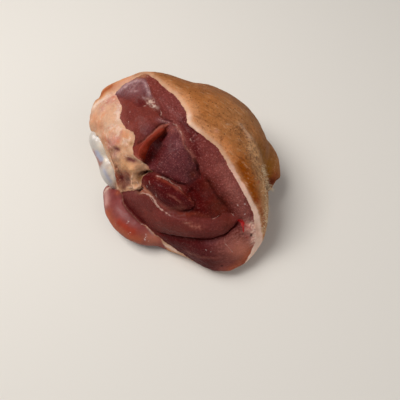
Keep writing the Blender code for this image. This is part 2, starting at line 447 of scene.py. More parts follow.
MUSCLES = {
    "veiled": [
        (-56, 71), (-50, 76), (-44, 79.5), (-38, 81.5), (-32, 81.5), (-28, 79), (-25.5, 74), (-23.5, 66), (-24, 61),
        (-28, 56), (-34, 57), (-40, 61), (-50, 66),
    ],
    "long": [
        (-32, 86), (-25, 85), (-7, 68), (6, 53), (10, 37), (22, 27), (35, 16), (46, -3), (56, -21), (64, -37),
        (66, -44), (60, -44), (52, -39), (46, -36), (40, -29), (34, -20), (28, -12), (22, -5), (18, 3), (15, 10),
        (10, 17), (6, 26), (2, 34), (-3, 38), (-10, 44), (-14, 51), (-18, 58), (-22, 66), (-26, 77),
    ],
    "upper": [
        (-52, 66), (-41, 60), (-30, 53), (-22, 54), (-16, 50), (-12, 45), (-7, 39), (-13, 36.5), (-18, 31),
        (-23, 25.5), (-28, 22), (-34, 19.5), (-34, 24), (-34.5, 29), (-40, 33.5), (-46, 40), (-49, 47), (-47.5, 54),
    ],
    "lip": [
        (-6, 38), (-12, 36.5), (-17.5, 31.5), (-22.5, 26), (-28, 22.5), (-34, 20), (-36, 16), (-33, 10.5), (-28, 6),
        (-25.5, 6), (-24, 11), (-21.5, 17), (-17.5, 22.5), (-13, 27.5), (-9, 31.5), (-7, 35),
    ],
    "middle": [
        (-24.5, 4.5), (-23.5, 10), (-21, 16), (-17, 22), (-12.5, 27), (-8.5, 31), (-6.5, 37), (0, 36.5), (4, 30),
        (6.5, 24), (9, 18), (13, 13), (15.5, 8), (17.5, 1), (18, -6), (14, -10), (6, -13), (-2, -10.5), (-9, -6.5),
        (-15, -3.5), (-20, -0.5),
    ],
    "round": [
        (-29.5, -10), (-28, -6), (-23, -4), (-15, -5.5), (-7, -9.5), (0, -13.5), (7, -19), (13, -24), (16, -29),
        (13, -33), (4, -34.5), (-6, -33), (-13, -29), (-19, -23.5), (-24, -17.5),
    ],
    "lower": [
        (-53, -19), (-34, -17), (-29, -17), (-26, -19.5), (-21, -23), (-17, -29), (-13, -33.5), (-6, -36.5),
        (3, -38.5), (22, -40), (34, -40), (42, -36), (48, -39), (52, -43), (49, -46.5), (45.5, -50), (42, -53),
        (38, -55.2), (30, -56.8), (20, -57.3), (10, -56.7), (0, -55.8), (-10, -54.5), (-18, -53.3), (-24, -52.5),
        (-29, -48), (-36, -43), (-41, -38.5), (-46, -34), (-50.5, -27),
    ],
    "lowest": [
        (-18, -55), (-10, -55.5), (0, -57), (10, -57.8), (20, -58.3), (30, -57.8), (39, -56), (46.5, -50.5),
        (50.5, -46), (56, -44), (64, -47), (68, -53), (69, -60), (66, -67), (60, -79), (48, -90), (36, -92), (18, -84),
        (4, -74), (-10, -65),
    ],
    "between": [
        (7, -16), (15, -11), (20, -6), (24, -9), (31, -18), (38, -27), (44, -35), (36, -39), (24, -39), (15, -37),
        (13, -34), (17, -30), (14, -24),
    ],
}
print("muscles:", len(MUSCLES))

# %% [markdown]
# ## Outlines round the lean
#
# The same goes for what lies round the lean: the rim of fat, the knob of the knee, the gristle below it, the
# loose flap, the cartilage of the joint, and the crevice that parts the two lowest muscles.

# %% Fat, knee, gristle, flap and joint
FAT_BAND = [
    (-72, 70), (-64, 78), (-49, 84), (-36, 87.5), (-28, 87.5), (-18, 82), (-9, 73.5), (0, 64.5), (7, 56.5), (13, 48),
    (14, 40), (21, 31.5), (30, 24), (37, 16.5), (43, 8), (47.5, 0.5), (51.5, -7), (55.5, -12.5), (58.7, -17.5),
    (62, -24), (64.5, -27.5), (67, -32), (69, -36.5), (70.5, -40), (71.5, -44), (72.5, -48.5), (73.8, -55.5),
    (75, -60), (75, -65), (70, -73), (57, -84), (36, -93), (9, -84), (-19, -67), (-46, -36), (-60, -22), (-76, -10),
    (-80, 20), (-80, 50), (-76, 63),
]
KNEE = [
    (-47, 54), (-50, 60), (-53, 67), (-57, 73), (-66, 71), (-80, 62), (-86, 50), (-84, 40), (-73, 37), (-67, 24),
    (-61, 18), (-50, 21), (-40, 20), (-34, 25), (-35, 31), (-42, 35.5), (-48, 45),
]
LIGAMENT = [
    (-60, 20), (-51, 21), (-41, 21), (-35.8, 18), (-34.8, 13.5), (-31, 7.5), (-26, 4), (-20, -0.5), (-24, -3),
    (-29, -5), (-30, -15.5), (-40, -16.5), (-54, -17), (-58, -14), (-60, -6), (-58, 0), (-57, 6), (-60, 12),
]
FLAP_EDGE = [
    (-55, -18), (-52.5, -24), (-50, -30), (-45.5, -35.5), (-40.5, -39.5), (-36, -44.5), (-31.5, -47), (-28, -50.5),
    (-24, -54.5), (-19.5, -59), (-15, -63),
]
FLAP = [
    (-76, -8), (-66, -12), (-57, -15.5), *FLAP_EDGE, (-12, -78), (-60, -78), (-95, -30),
]
CARTILAGE = [
    (-72, 36), (-67.5, 25), (-62, 16.5), (-59.5, 9), (-58, 2), (-60, -5), (-58, -11), (-56, -16.5), (-70, -22),
    (-95, 0), (-95, 36),
]
CREVICE = [
    (-18, -53.3), (-10, -54.5), (0, -55.8), (10, -56.7), (20, -57.3), (30, -56.8), (38, -55.2), (42, -53), (45.5, -50),
    (49, -46.5), (52, -43.5),
]
print("points of the flap:", len(FLAP))

# %% [markdown]
# ## Brushes on the points of the skin
#
# Each point gets its place in the face's frame and how far it lies under the topmost skin when seen straight
# onto the cut. That last number keeps the paint of the cut off the belly below it: a ray is dropped from above
# onto each point, and the gap to the first hit is the depth. The brushes then give a number from 0 to 1 for
# every point. Their outlines are wobbled a little by noise, because no muscle ends in a ruled curve.

# %% The skin and its brushes
RAY_START = 0.2
EDGE_ROOM = 0.05 * MM
WOBBLES = ((6.0, 0.7), (1.8, 0.25))
UNDER_FADE = 3.0
BLUNT_END = 0.35


class Skin:
    """A piece's points, measured in the face's frame."""

    def __init__(self, piece):
        self.piece = piece
        self.measure()
        self.drawn_u = self.u.copy()
        self.drawn_v = self.v.copy()
        for number, (size, amount) in enumerate(WOBBLES):
            self.drawn_u += amount * self.lumps(size, seed=1 + 2 * number)
            self.drawn_v += amount * self.lumps(size, seed=2 + 2 * number)

    def measure(self):
        mesh = self.piece.data
        self.points = np.zeros(len(mesh.vertices) * 3)
        mesh.vertices.foreach_get("co", self.points)
        self.points = self.points.reshape(-1, 3)
        self.normals = np.zeros(len(mesh.vertices) * 3)
        mesh.vertices.foreach_get("normal", self.normals)
        self.normals = self.normals.reshape(-1, 3)
        back = np.array(FACE.inverted())
        self.u, self.v, self.w = ((self.points @ back[:3, :3].T + back[:3, 3]) / MM).T
        self.tree = self.surface()
        self.under = np.array([self.depth(point) for point in self.points])

    def surface(self):
        bm = bmesh.new()
        bm.from_mesh(self.piece.data)
        tree = BVHTree.FromBMesh(bm)
        bm.free()
        return tree

    def depth(self, point):
        """How far a point lies below the top skin, along the view onto the cut."""
        fall = self.tree.ray_cast(Vector(point) + OUTWARD * RAY_START, -OUTWARD)[3]
        return 0 if fall is None else max(0, RAY_START - fall) / MM

    def top(self, u, v):
        """The point of the skin over (u, v), and the way that the skin faces there."""
        return self.tree.ray_cast(to_metres(u, v, 0) + OUTWARD * RAY_START, -OUTWARD)[:2]

    def lumps(self, size, octaves=2, seed=0):
        """Soft random lumps about that many millimetres wide, from about -1 to 1."""
        shift = Vector((seed * 31.7, seed * 17.3, seed * 5.1))
        spots = self.points / (size * MM)
        return np.array([noise.fractal(Vector(p) + shift, 1.0, 2.0, octaves) for p in spots])

    def move(self, along, amounts):
        """Moves the points by that many millimetres along the given directions, inside the solids' box."""
        moved = self.points + along * amounts[:, None] * MM
        low, high = (np.array(corner) for corner in cad_box)
        low = low + np.array((EDGE_ROOM, EDGE_ROOM, 0))
        moved = np.clip(moved, low, high - EDGE_ROOM)
        self.piece.data.vertices.foreach_set("co", moved.ravel())
        self.piece.data.update()
        self.measure()

    def reach(self, outline):
        """How far inside a drawn shape every point lies, in millimetres, and negative outside it."""
        line = smooth_line(outline, closed=True)
        away, _, _ = away_from(line, self.drawn_u, self.drawn_v)
        return np.where(inside(line, self.drawn_u, self.drawn_v), away, -away) - self.under

    def mark(self, width, *points, taper=4.0):
        """A dab round one point, or a stroke along more: 1 on it, fading over its width and towards its ends."""
        ends = 1.0
        if len(points) == 1:
            away = np.hypot(self.drawn_u - points[0][0], self.drawn_v - points[0][1])
        else:
            line = smooth_line(points)
            away, _, along = away_from(line, self.drawn_u, self.drawn_v)
            length = np.hypot(*np.diff(line, axis=0).T).sum()
            ends = np.clip(np.minimum(along, length - along) / taper + BLUNT_END, 0, 1)
        return np.exp(-((away / width) ** 2)) * ends * np.exp(-self.under / UNDER_FADE)

    def store(self, name, values, colour=False):
        """Keeps numbers on the points, for the material: three each, or a colour."""
        kind, field = ("FLOAT_COLOR", "color") if colour else ("FLOAT_VECTOR", "vector")
        if colour:
            values = np.hstack([values, np.ones((len(values), 1))])
        attribute = self.piece.data.attributes.new(name, kind, "POINT")
        attribute.data.foreach_set(field, np.ascontiguousarray(values, np.float32).ravel())


def area(reach, soft=1.5, spread=0.0):
    """1 inside a shape and 0 outside it, with a soft edge that many millimetres wide."""
    share = np.clip((reach + spread) / soft + 0.5, 0, 1)
    return share * share * (3 - 2 * share)


# %% [markdown]
# ## The end of the shank
#
# The solid ends in a flat cut. On the real knuckle the rind hangs a little over the sawn bone and hides it from
# above, so the points near the cut are lowered, most at the bone itself, and then evened out.

# %% Lower and round the end
SAW_PLACE = np.array((80.7, -13.5, 24.5)) * MM
SAW_WAY = np.array((0.66, -0.73, -0.17))
DROOP_WAY = np.array(facing_way(-0.3, -0.92, -0.2))
DROOP = 9.0
BULGE = 4.4
BULGE_REACH = 11.0
BONE_DROOP = 6.0
DROOP_REACH = 15.0
END_REACH = 17 * MM
END_SMOOTHINGS = 5


def droop(some_skin, fall):
    """Lowers the points near the saw cut."""
    away = np.linalg.norm(some_skin.points - SAW_PLACE, axis=1) / MM
    some_skin.move(DROOP_WAY, fall * np.exp(-((away / DROOP_REACH) ** 4)))


skin = Skin(meat)
from_cut = np.linalg.norm(skin.points - SAW_PLACE, axis=1) / MM
facing_out = np.clip(skin.normals @ SAW_WAY, 0, 1)
skin.move(SAW_WAY, BULGE * facing_out * np.exp(-((from_cut / BULGE_REACH) ** 4)))
droop(skin, DROOP)
end_place = Vector(SAW_PLACE + DROOP_WAY * DROOP * MM)
near_end = smoothed(meat, END_SMOOTHINGS, lambda place: (place - end_place).length < END_REACH)
print("points at the end:", near_end)

# %% [markdown]
# ## Finer where it is looked at
#
# Only the cut face needs the finest detail, so that part alone is divided once more: the whole stays light,
# and the seams come out crisp.

# %% Divide the cut face once more
FINE_MARGIN = 5.0
FINE_DEPTH = 3.0
FINE_SMOOTHINGS = 2

skin = Skin(meat)
wanted = np.maximum(skin.reach(LEAN), skin.reach(LIGAMENT)) > -FINE_MARGIN
wanted &= skin.under < FINE_DEPTH
bm = bmesh.new()
bm.from_mesh(meat.data)
edges = [edge for edge in bm.edges if all(wanted[vert.index] for vert in edge.verts)]
bmesh.ops.subdivide_edges(bm, edges=edges, cuts=1, use_grid_fill=True)
bm.to_mesh(meat.data)
bm.free()
smoothed(meat, FINE_SMOOTHINGS)
skin = Skin(meat)
print("skin:", len(meat.data.vertices), "points")

# %% [markdown]
# ## How each point lies to the drawn shapes
#
# These numbers are worked out once and then used for the relief, the colours and the grain. The flap hangs below
# the cut, so what lies above its upper side is counted as far outside it.

# %% Distances to all the shapes
FAR = 30
FLAP_TOP = 6
in_muscle = {name: skin.reach(outline) for name, outline in MUSCLES.items()}
in_lean = skin.reach(LEAN)
in_band = skin.reach(FAT_BAND)
in_knee = skin.reach(KNEE)
in_ligament = skin.reach(LIGAMENT)
in_flap = skin.reach(FLAP) + skin.under
in_flap[skin.w > FLAP_TOP] = -FAR
in_cartilage = skin.reach(CARTILAGE)
print("points in the lean:", int((in_lean > 0).sum()))

# %% [markdown]
# ## Relief of the lean
#
# Raw muscles bulge between the sheets that hold them, so each outline becomes a pillow that rises quickly from
# its edge. Where two muscles meet, the low edges make the seam by themselves. A row below is how many
# millimetres a mark rises or sinks, its width, and its points: one for a lump, more for a fold or a groove. The
# solid already has the widest grooves, and two of them are filled first, so that narrower ones can be cut.

# %% Pillows, grooves and folds of the lean
PILLOW_ROUND = 2.0
LEAN_SINK = 1.0
PILLOWS = {
    "veiled": 0.9, "long": 1.3, "upper": 1.5, "lip": 2.0, "middle": 1.5, "round": 1.8, "lower": 1.8, "lowest": 1.5,
    "between": 0.1,
}
LEAN_RELIEF = {
    "crevice, filled": (3.6, 2.4, *CREVICE),
    "crevice": (-3, 1.4, *CREVICE),
    "lip, filled": (4.2, 2, (-28.5, 8), (-27, 12.5), (-24, 18), (-20, 23.5), (-15.5, 28.5), (-11, 33)),
    "lip's crest": (1.2, 2.6, (-9, 36), (-15, 32), (-20, 27), (-25, 22), (-29, 16), (-29.5, 9)),
    "fold beside the lip": (-0.9, 0.8, (-12, 37), (-17, 32.5), (-22, 27), (-27, 23), (-33, 20)),
    "foot of the lip": (-1.3, 1.8, (-24, 7), (-22.5, 12), (-19.5, 18), (-15.5, 23), (-11, 28), (-8, 32)),
    "hollow": (-1.8, 5, (-18, 7), (-14, 14), (-9, 21)),
    "seam right of the hollow": (0.8, 1.1, (-6, 38.5), (0, 37), (3.5, 31), (6, 24.5), (8.5, 18), (12.5, 13),
        (14.5, 9)),
    "groove right of it": (-2, 1, (16, 8), (17.5, 3), (18.5, -2), (19.5, -7)),
    "under the long muscle": (-1.3, 1.1, (25, -9), (28, -14), (32, -20), (36, -25.5), (40, -30), (43, -33)),
    "pit beside the round muscle": (-1.6, 3, (12, -16), (16, -21), (20, -26), (22, -31)),
    "hole": (-4.2, 1.2, (-31, -4), (-27, -3), (-23, -2.2), (-19.5, -2.4)),
    "over the round muscle": (-1.6, 0.9, (-12, -5.5), (-5, -9.5), (3, -12.5), (8, -14)),
    "rim of the round muscle": (0.9, 1.1, (-18, -5), (-12, -7.5), (-6, -11), (0, -14.5), (6, -19.5), (12, -24),
        (15, -29)),
    "slit": (-1.6, 0.7, (5, -34.5), (10, -34.5), (13, -33.3), (15.5, -31)),
    "white seam": (0.6, 0.8, (-31, -19.5), (-26, -19.7), (-21, -22.7), (-17.5, -27.5), (-14, -32), (-9, -35.3),
        (0, -37.5)),
    "tan rim": (0.8, 1.3, (-30, -12.5), (-26.5, -16), (-22.5, -20)),
    "seam to the long muscle": (-1.2, 0.8, (-14, 50), (-12, 45.5), (-9, 41.5), (-4, 38.8)),
    "end of the crevice": (-0.9, 1.4, (51, -43), (55, -44), (57.5, -48), (58, -53)),
    "bulge of the red muscle": (1, 3, (19, -31)),
    "dip beside the fat": (-1.4, 4, (-28.5, 60)),
    "vein's end": (-1.8, 1.5, (64, -56)),
}
print("relief of the lean:", len(LEAN_RELIEF), "marks")

# %% [markdown]
# ## Relief of the knee, the gristle and the rind
#
# Round the lean the same kind of rows raise the lumps of fat on the knee, the tendons and pockets of the
# gristle, and the folds that run down the rind.

# %% Lumps, tendons and folds round the lean
REST_RELIEF = {
    "under the knee": (-1.6, 0.9, (-36, -16.8), (-31, -16.5), (-28, -15)),
    "beside the flap": (-1.3, 1.1, *FLAP_EDGE),
    "tendon": (1.5, 1.5, (-36, 14), (-32, 8.8), (-28, 5), (-23.5, 1.6), (-20.5, -0.6)),
    "tendon ring": (1.5, 1.1, (-35.5, -3.5), (-38, -8), (-37.5, -12), (-34, -14.3), (-30, -13)),
    "white strand": (0.9, 0.7, (-45, -13.8), (-40, -14.3), (-35, -14.5), (-31, -15.2)),
    "small ring": (1, 0.8, (-57.5, 6), (-56.8, 3), (-54.3, 2), (-52.4, 4), (-53.4, 6.8), (-56, 7.6)),
    "edge of the cartilage": (-1.2, 1, (-63, 17), (-60.5, 10), (-58.5, 3)),
    "vein on the knee": (0.6, 1, (-67, 63), (-61, 65), (-55, 67)),
    "ridge of the rind": (1, 2.2, (58, 31), (64, 20), (69, 8), (72, -4), (74, -16), (75.5, -28), (76, -40), (76, -50)),
    "hollow before the shank": (-1.2, 3, (70, 24), (76, 10), (79, -2)),
    "fold of the rind": (0.6, 1.3, (50, 40), (56, 33.5), (60, 28.5), (63, 24)),
    "long fold": (0.5, 3, (26, 66), (38, 56), (48, 45), (55, 36)),
    "short fold": (0.4, 1.6, (40, 39), (44, 36), (47, 31)),
    "big tan lump": (2.4, 5.2, (-43.5, 4)),
    "its right half": (1.5, 3.4, (-36, 1)),
    "lump beside the ring": (1.6, 2.4, (-34, -8.5)),
    "below the ring": (1.2, 2.2, (-33, -13.5)),
    "upper left lump": (1, 3, (-56, 12)),
    "pale lump": (1.2, 2.8, (-49, 12)),
    "under the orange fat": (-1.2, 2.4, (-41, 22)),
    "orange fat": (0.8, 4, (-43, 27)),
    "purple dip": (-0.9, 2.4, (-49, 16.5)),
    "purple dip at the tendon": (-1.1, 2.6, (-38, 8.8)),
    "eye of the small ring": (-1.2, 1.3, (-55, 4.8)),
    "red pocket": (-2.4, 5.2, (-53, -5)),
    "grey pocket": (-2, 4.6, (-44.5, -9)),
    "dark corner": (-1.6, 2.6, (-30, -6)),
    "knee, upper left": (1, 7, (-74, 62)),
    "notch above the knee": (-2.6, 4.5, (-75, 72)),
    "top of the cartilage": (-1.8, 4.5, (-79, 37)),
    "knee, middle": (1, 8, (-62, 48)),
    "knee, left": (0.8, 6, (-77, 47)),
    "knee, low": (0.9, 6, (-60, 30)),
    "knee, right": (0.6, 5, (-52, 40)),
    "flap's middle": (0.8, 9, (-54, -34)),
    "stump": (0.5, 6, (84, 4)),
}
print("relief of the rest:", len(REST_RELIEF), "marks")

# %% [markdown]
# ## Adding up the heights
#
# All the marks are added up, then soft random lumps are put on each kind of tissue: big ones on the knee, small
# ones on the lean. The points are moved along the way that the skin faces, apart from those it rests on.

# %% Sculpt the skin
RESTING = 1.0 * MM
height = -LEAN_SINK * area(in_lean, soft=2.0, spread=-0.6)
for name, rises in PILLOWS.items():
    height += rises * (1 - np.exp(-np.maximum(in_muscle[name], 0) / PILLOW_ROUND))
for rises, *mark in (*LEAN_RELIEF.values(), *REST_RELIEF.values()):
    height += rises * skin.mark(*mark)

lean_share = area(in_lean, soft=2.0)
knee_share = area(in_knee, soft=3.0) * (1 - lean_share)
gristle_share = area(in_ligament, soft=2.0) * (1 - lean_share)
flap_share = area(in_flap, soft=2.0) * (1 - lean_share)
ROUGHNESS = [
    (lean_share, 0.40, 6, 3, 5), (lean_share, 0.16, 1.8, 2, 6), (gristle_share, 0.55, 4.5, 3, 7),
    (knee_share, 1.0, 8, 4, 8), (1 - lean_share, 0.5, 14, 2, 9), (1 - lean_share, 0.14, 3.0, 3, 10),
]
for share, rises, size, octaves, seed in ROUGHNESS:
    height += share * rises * skin.lumps(size, octaves, seed)
height[skin.points[:, 2] < RESTING] = 0
skin.move(skin.normals, height)
print("relief from", round(height.min(), 2), "to", round(height.max(), 2), "mm")

# %% [markdown]
# ## Washes of colour
#
# The colours of raw meat change slowly inside a muscle and suddenly at its edge. So two coats are laid on the
# points of the mesh, one for the lean and one for all the rest, and the material chooses between them along a
# crisp line that it finds from the distance to the outline. These are the colours of the lean.

# %% The paint box of the lean
PLUM = tone(112, 66, 68)
MEMBRANE = tone(150, 114, 118)
HAZE = tone(142, 84, 80)
WINE = tone(104, 42, 38)
BRICK = tone(112, 46, 38)
ROSE = tone(138, 74, 66)
MAROON = tone(78, 12, 14)
DEEP = tone(74, 3, 3)
# Painted shade, near black, for the clefts, grooves and pits.
CLEFT_SHADE = tone(50, 3, 3)
EMBER = tone(128, 34, 10)
UMBER = tone(96, 34, 22)
PALE_ROSE = tone(180, 108, 88)
VIOLET = tone(94, 42, 45)
LILAC = tone(142, 88, 92)
RED_BROWN = tone(124, 46, 32)
TAN_ROSE = tone(170, 108, 84)
BLOOD = tone(168, 8, 8)
CLARET = tone(114, 50, 46)
# Deep red of the hollow, with the lip's shadow painted in.
HOLLOW_SHADE_RED = tone(112, 14, 12)
FILM = tone(176, 140, 138)
PATCH = tone(212, 184, 168)
FASCIA = tone(158, 104, 74)
RIM = tone(154, 90, 76)
PINK_VEIL = tone(172, 108, 98)
print("darkest colour:", [round(share, 4) for share in CLEFT_SHADE])

# %% [markdown]
# ## Colours of the rest
#
# Rind, fat, knee, gristle, flap and stub have softer colours, from cream to rust.

# %% The paint box of the rest
RIND = tone(163, 99, 50)
RIND_GREY = tone(172, 116, 72)
RIND_PINK = tone(142, 92, 58)
RIND_SHADE = tone(124, 76, 36)
PEACH = tone(200, 138, 94)
FAT_PALE = tone(206, 162, 132)
FAT_ORANGE = tone(198, 124, 72)
FAT_PINK = tone(196, 136, 114)
RIND_BROWN = tone(150, 92, 50)
RIND_GOLD = tone(132, 84, 26)
PORE = tone(84, 42, 20)
STREAK_AND_HIGHLIGHT = tone(190, 150, 120)
FAT_WHITE = tone(236, 200, 180)
MUSTARD = tone(142, 68, 0)
GREIGE = tone(192, 148, 106)
RUST = tone(152, 66, 28)
DOME = tone(206, 160, 130)
DOME_ORANGE = tone(206, 136, 98)
DOME_RED = tone(184, 104, 88)
DOME_PINK = tone(204, 148, 134)
DOME_WHITE = tone(224, 198, 180)
OLIVE_SHADOW = tone(146, 104, 62)
OLIVE_CORNER_SHADE = tone(118, 78, 46)
GRISTLE = tone(184, 136, 104)
GRISTLE_TAN = tone(212, 156, 112)
GRISTLE_GREY = tone(170, 132, 106)
GRISTLE_PALE = tone(212, 170, 140)
PURPLE = tone(104, 52, 52)
CREAM = tone(214, 172, 142)
FLAP_DUSK = tone(126, 58, 56)
FLAP_MAUVE = tone(142, 80, 78)
FLAP_ORANGE = tone(170, 88, 60)
FLAP_RED = tone(154, 52, 30)
FLAP_FILM_AND_SHEEN = tone(186, 136, 128)
STUB = tone(164, 110, 60)
STUB_GOLD = tone(150, 92, 14)
STUB_TIP_SHADE = tone(84, 28, 14)
print("palest colour:", [round(share, 2) for share in FAT_WHITE])

# %% [markdown]
# ## How a coat is brushed on
#
# A coat is one colour per point of a skin. A row names a colour, an amount and a mark: the width and the points
# of a dab or a stroke. Where the amount is an area of its own, such as a whole muscle, no mark is needed. Later
# rows lie over the earlier ones.

# %% A coat of paint
class Coat:
    """One colour for every point of a skin."""

    def __init__(self, some_skin, colour):
        self.skin = some_skin
        self.colours = np.tile(np.array(colour[:3]), (len(some_skin.points), 1))

    def brush(self, rows):
        """Lays the colours of the rows, one after the other."""
        for colour, amount, *mark in rows:
            share = amount * self.skin.mark(*mark) if mark else amount
            self.colours += (np.array(colour[:3]) - self.colours) * share[:, None]
        print("washes:", len(rows))


# %% [markdown]
# ## The upper muscles
#
# Each muscle has its own red: old working muscles are dark wine, the ones near the skin are rosier, and where a
# membrane still covers one it turns lilac. Torn is a patchy number, for films that cover only in part.

# %% The lean's coat: upper, veiled and long muscle
torn = np.clip(0.6 + 1.4 * skin.lumps(1.8, 3, seed=12), 0, 1)
lean = Coat(skin, WINE)
lean.brush([
    (BRICK, area(in_muscle["upper"], 3)),
    (ROSE, 0.6, 3, (-53, 66), (-49, 56), (-47, 46), (-42, 38), (-36, 32)),
    (WINE, 0.5, 6, (-38, 47)),
    (VIOLET, 0.8, 7, (-22, 31)),
    (PLUM, area(in_muscle["veiled"], 6, spread=0.5) * np.clip((skin.v - 60) / 8, 0, 1)),
    (MEMBRANE, 0.85, 2.6, (-55.5, 71.5), (-50, 75), (-44, 78), (-38, 80), (-32, 80)),
    (MEMBRANE, 0.8, 2.2, (-29, 79), (-26, 74), (-24.5, 69), (-23, 63)),
    (FILM, 0.9 * torn, 1.2, (-54, 72), (-45, 76), (-42, 78.5), (-37, 80), (-33, 79)),
    (FILM, 0.9 * torn, 1.1, (-33, 79), (-28.5, 77.5), (-26.5, 74), (-25, 69), (-23.8, 65)),
    (FILM, 0.4 * torn, 7, (-40, 75)),
    (FILM, 0.6 * torn, 0.9, (-41, 69), (-36, 69.2), (-32.5, 68.5)),
    (FILM, 0.6 * torn, 1.2, (-31.5, 62), (-25.5, 62.5)),
    (MAROON, 0.7, 3.6, (-30, 57)),
    (LILAC, 0.8, 1.8, (-15.5, 41), (-10.5, 40), (-5, 38.8)),
    (CLARET, area(in_muscle["long"], 4)),
    (BRICK, 0.9 * area(in_muscle["long"], 3), 14, (-20, 74)),
    (FASCIA, 0.9, 2.2, (-46, 81.5), (-38, 84), (-31, 84.5), (-26, 83)),
    (PATCH, 0.95 * torn, 2.3, (-24, 61), (-21.5, 57.5), (-17.5, 52.5)),
    (BLOOD, 0.4, 0.9, (-20, 57)),
    # Painted shade on the long muscle beside the raised edge of the middle muscle, and under the raised rim of fat.
    (MAROON, 0.8, 4, (4, 42), (7, 37), (11, 30), (14, 23), (17, 14), (19, 8)),
    (DEEP, 0.8, 1.8, (10.5, 36), (15, 30.6), (20, 27)),
    (ROSE, 0.85, 7, (36, 6), (45, -12), (53, -26), (60, -38)),
    (PINK_VEIL, 0.3 * torn, 4.5, (42, -10), (50, -24), (57, -36)),
])

# %% [markdown]
# ## The lip and the hollow
#
# The torn lip is red brown with a pale crest. The hollow under it is painted nearly black: its own deep red with
# the lip's shadow painted in.

# %% The lean's coat: lip, hollow and middle muscle
lean.brush([
    (RED_BROWN, area(in_muscle["lip"], 1.5)),
    (WINE, 0.4, 2.5, (-34, 12), (-31, 19), (-26, 22)),
    (RIM, 0.7, 1.1, (-7, 37.6), (-12, 35.6), (-17.5, 31), (-22, 26.5), (-28, 22)),
    (RIM, 0.5, 1.2, (-33.5, 12), (-31, 8.5), (-27, 6)),
    (VIOLET, area(in_muscle["middle"], 2.5)),
    (ROSE, 0.6, 4.5, (-3, 33.5)),
    (LILAC, 0.4, 3.5, (2.5, 20)),
    (MAROON, 0.6, 7, (-15, 4)),
    # Painted shadow along the lower edge of the middle muscle, which overhangs the seam below it.
    (MAROON, 0.8, 3, (-12, -4.5), (-4, -8.5), (5, -11)),
    (UMBER, 0.9, 3.4, (14, -4)),
    (RIM, 0.65, 1.4, (0, 36.5), (3.5, 30.5), (5.5, 25), (7.3, 19), (10, 15), (12, 12.5), (14, 10), (16, 5)),
    # The hollow under the lip: its own deep red, with the shadow of the lip painted in.
    (MAROON, 0.7, 4, (-18, 8), (-14, 15), (-10, 21)),
    (EMBER, 0.9, 2.1, (-8.5, 33.5), (-12, 29.5), (-17, 24.5), (-21.5, 19), (-24.4, 12.5), (-26.2, 7.5)),
    (HOLLOW_SHADE_RED, 0.95, 2.3, (-23.5, 6), (-21.8, 12), (-18, 18.5), (-13.5, 23.5), (-9.5, 28)),
    (DEEP, 0.6, 2, (-22, 6.5), (-19.5, 13), (-15, 10)),
    (PLUM, 0.6, 2.6, (-16, 20)),
    (PLUM, 0.5, 2, (-12.5, 22)),
    (VIOLET, 0.8, 4, (13, -13.5)),
])

# %% [markdown]
# ## The round muscle
#
# The round muscle is the darkest and wettest. Deep red fills the gap between it and its neighbours: partly their
# own colour, partly painted shade in the pit there.

# %% The lean's coat: round muscle and the gap beside it
lean.brush([
    (MAROON, area(in_muscle["round"], 2)),
    (DEEP, 0.8, 4.5, (-20, -9)),
    (DEEP, 0.5, 3, (-10, -14), (-4, -16)),
    (BRICK, 0.6, 3, (-27, -11)),
    (RIM, 0.4, 2.2, (-21, -21), (-15, -27), (-8, -31.5), (0, -32), (8, -31)),
    (RIM, 0.5, 0.8, (-6, -20.5), (0, -24), (5, -28)),
    (RED_BROWN, 0.9, 1.6, (-17, -6), (-11, -8.5), (-5, -12), (1, -15), (6, -19), (10, -21.5), (13, -25.5), (15, -29)),
    (RIM, 0.7, 1.3, (-4, -11), (1, -14.5), (4.5, -17.5), (6, -19.5)),
    # Deep red in the gap: partly its own colour, partly painted shade in the pit.
    (DEEP, area(in_muscle["between"], 9, spread=1.5)),
    (UMBER, 1, 9, (36, -30)),
    (UMBER, 0.8, 6, (27, -13)),
    (CLARET, 0.4, 4, (26, -20)),
])

# %% [markdown]
# ## The lower muscles
#
# The two lowest muscles are broad and pinker, with films, bits of fat and a blood vessel between them. The
# crevice between them is painted deep red as the shade under the upper one, and the strip of fat at the lower
# right is painted paler, partly as painted light where it faces away from the lamp.

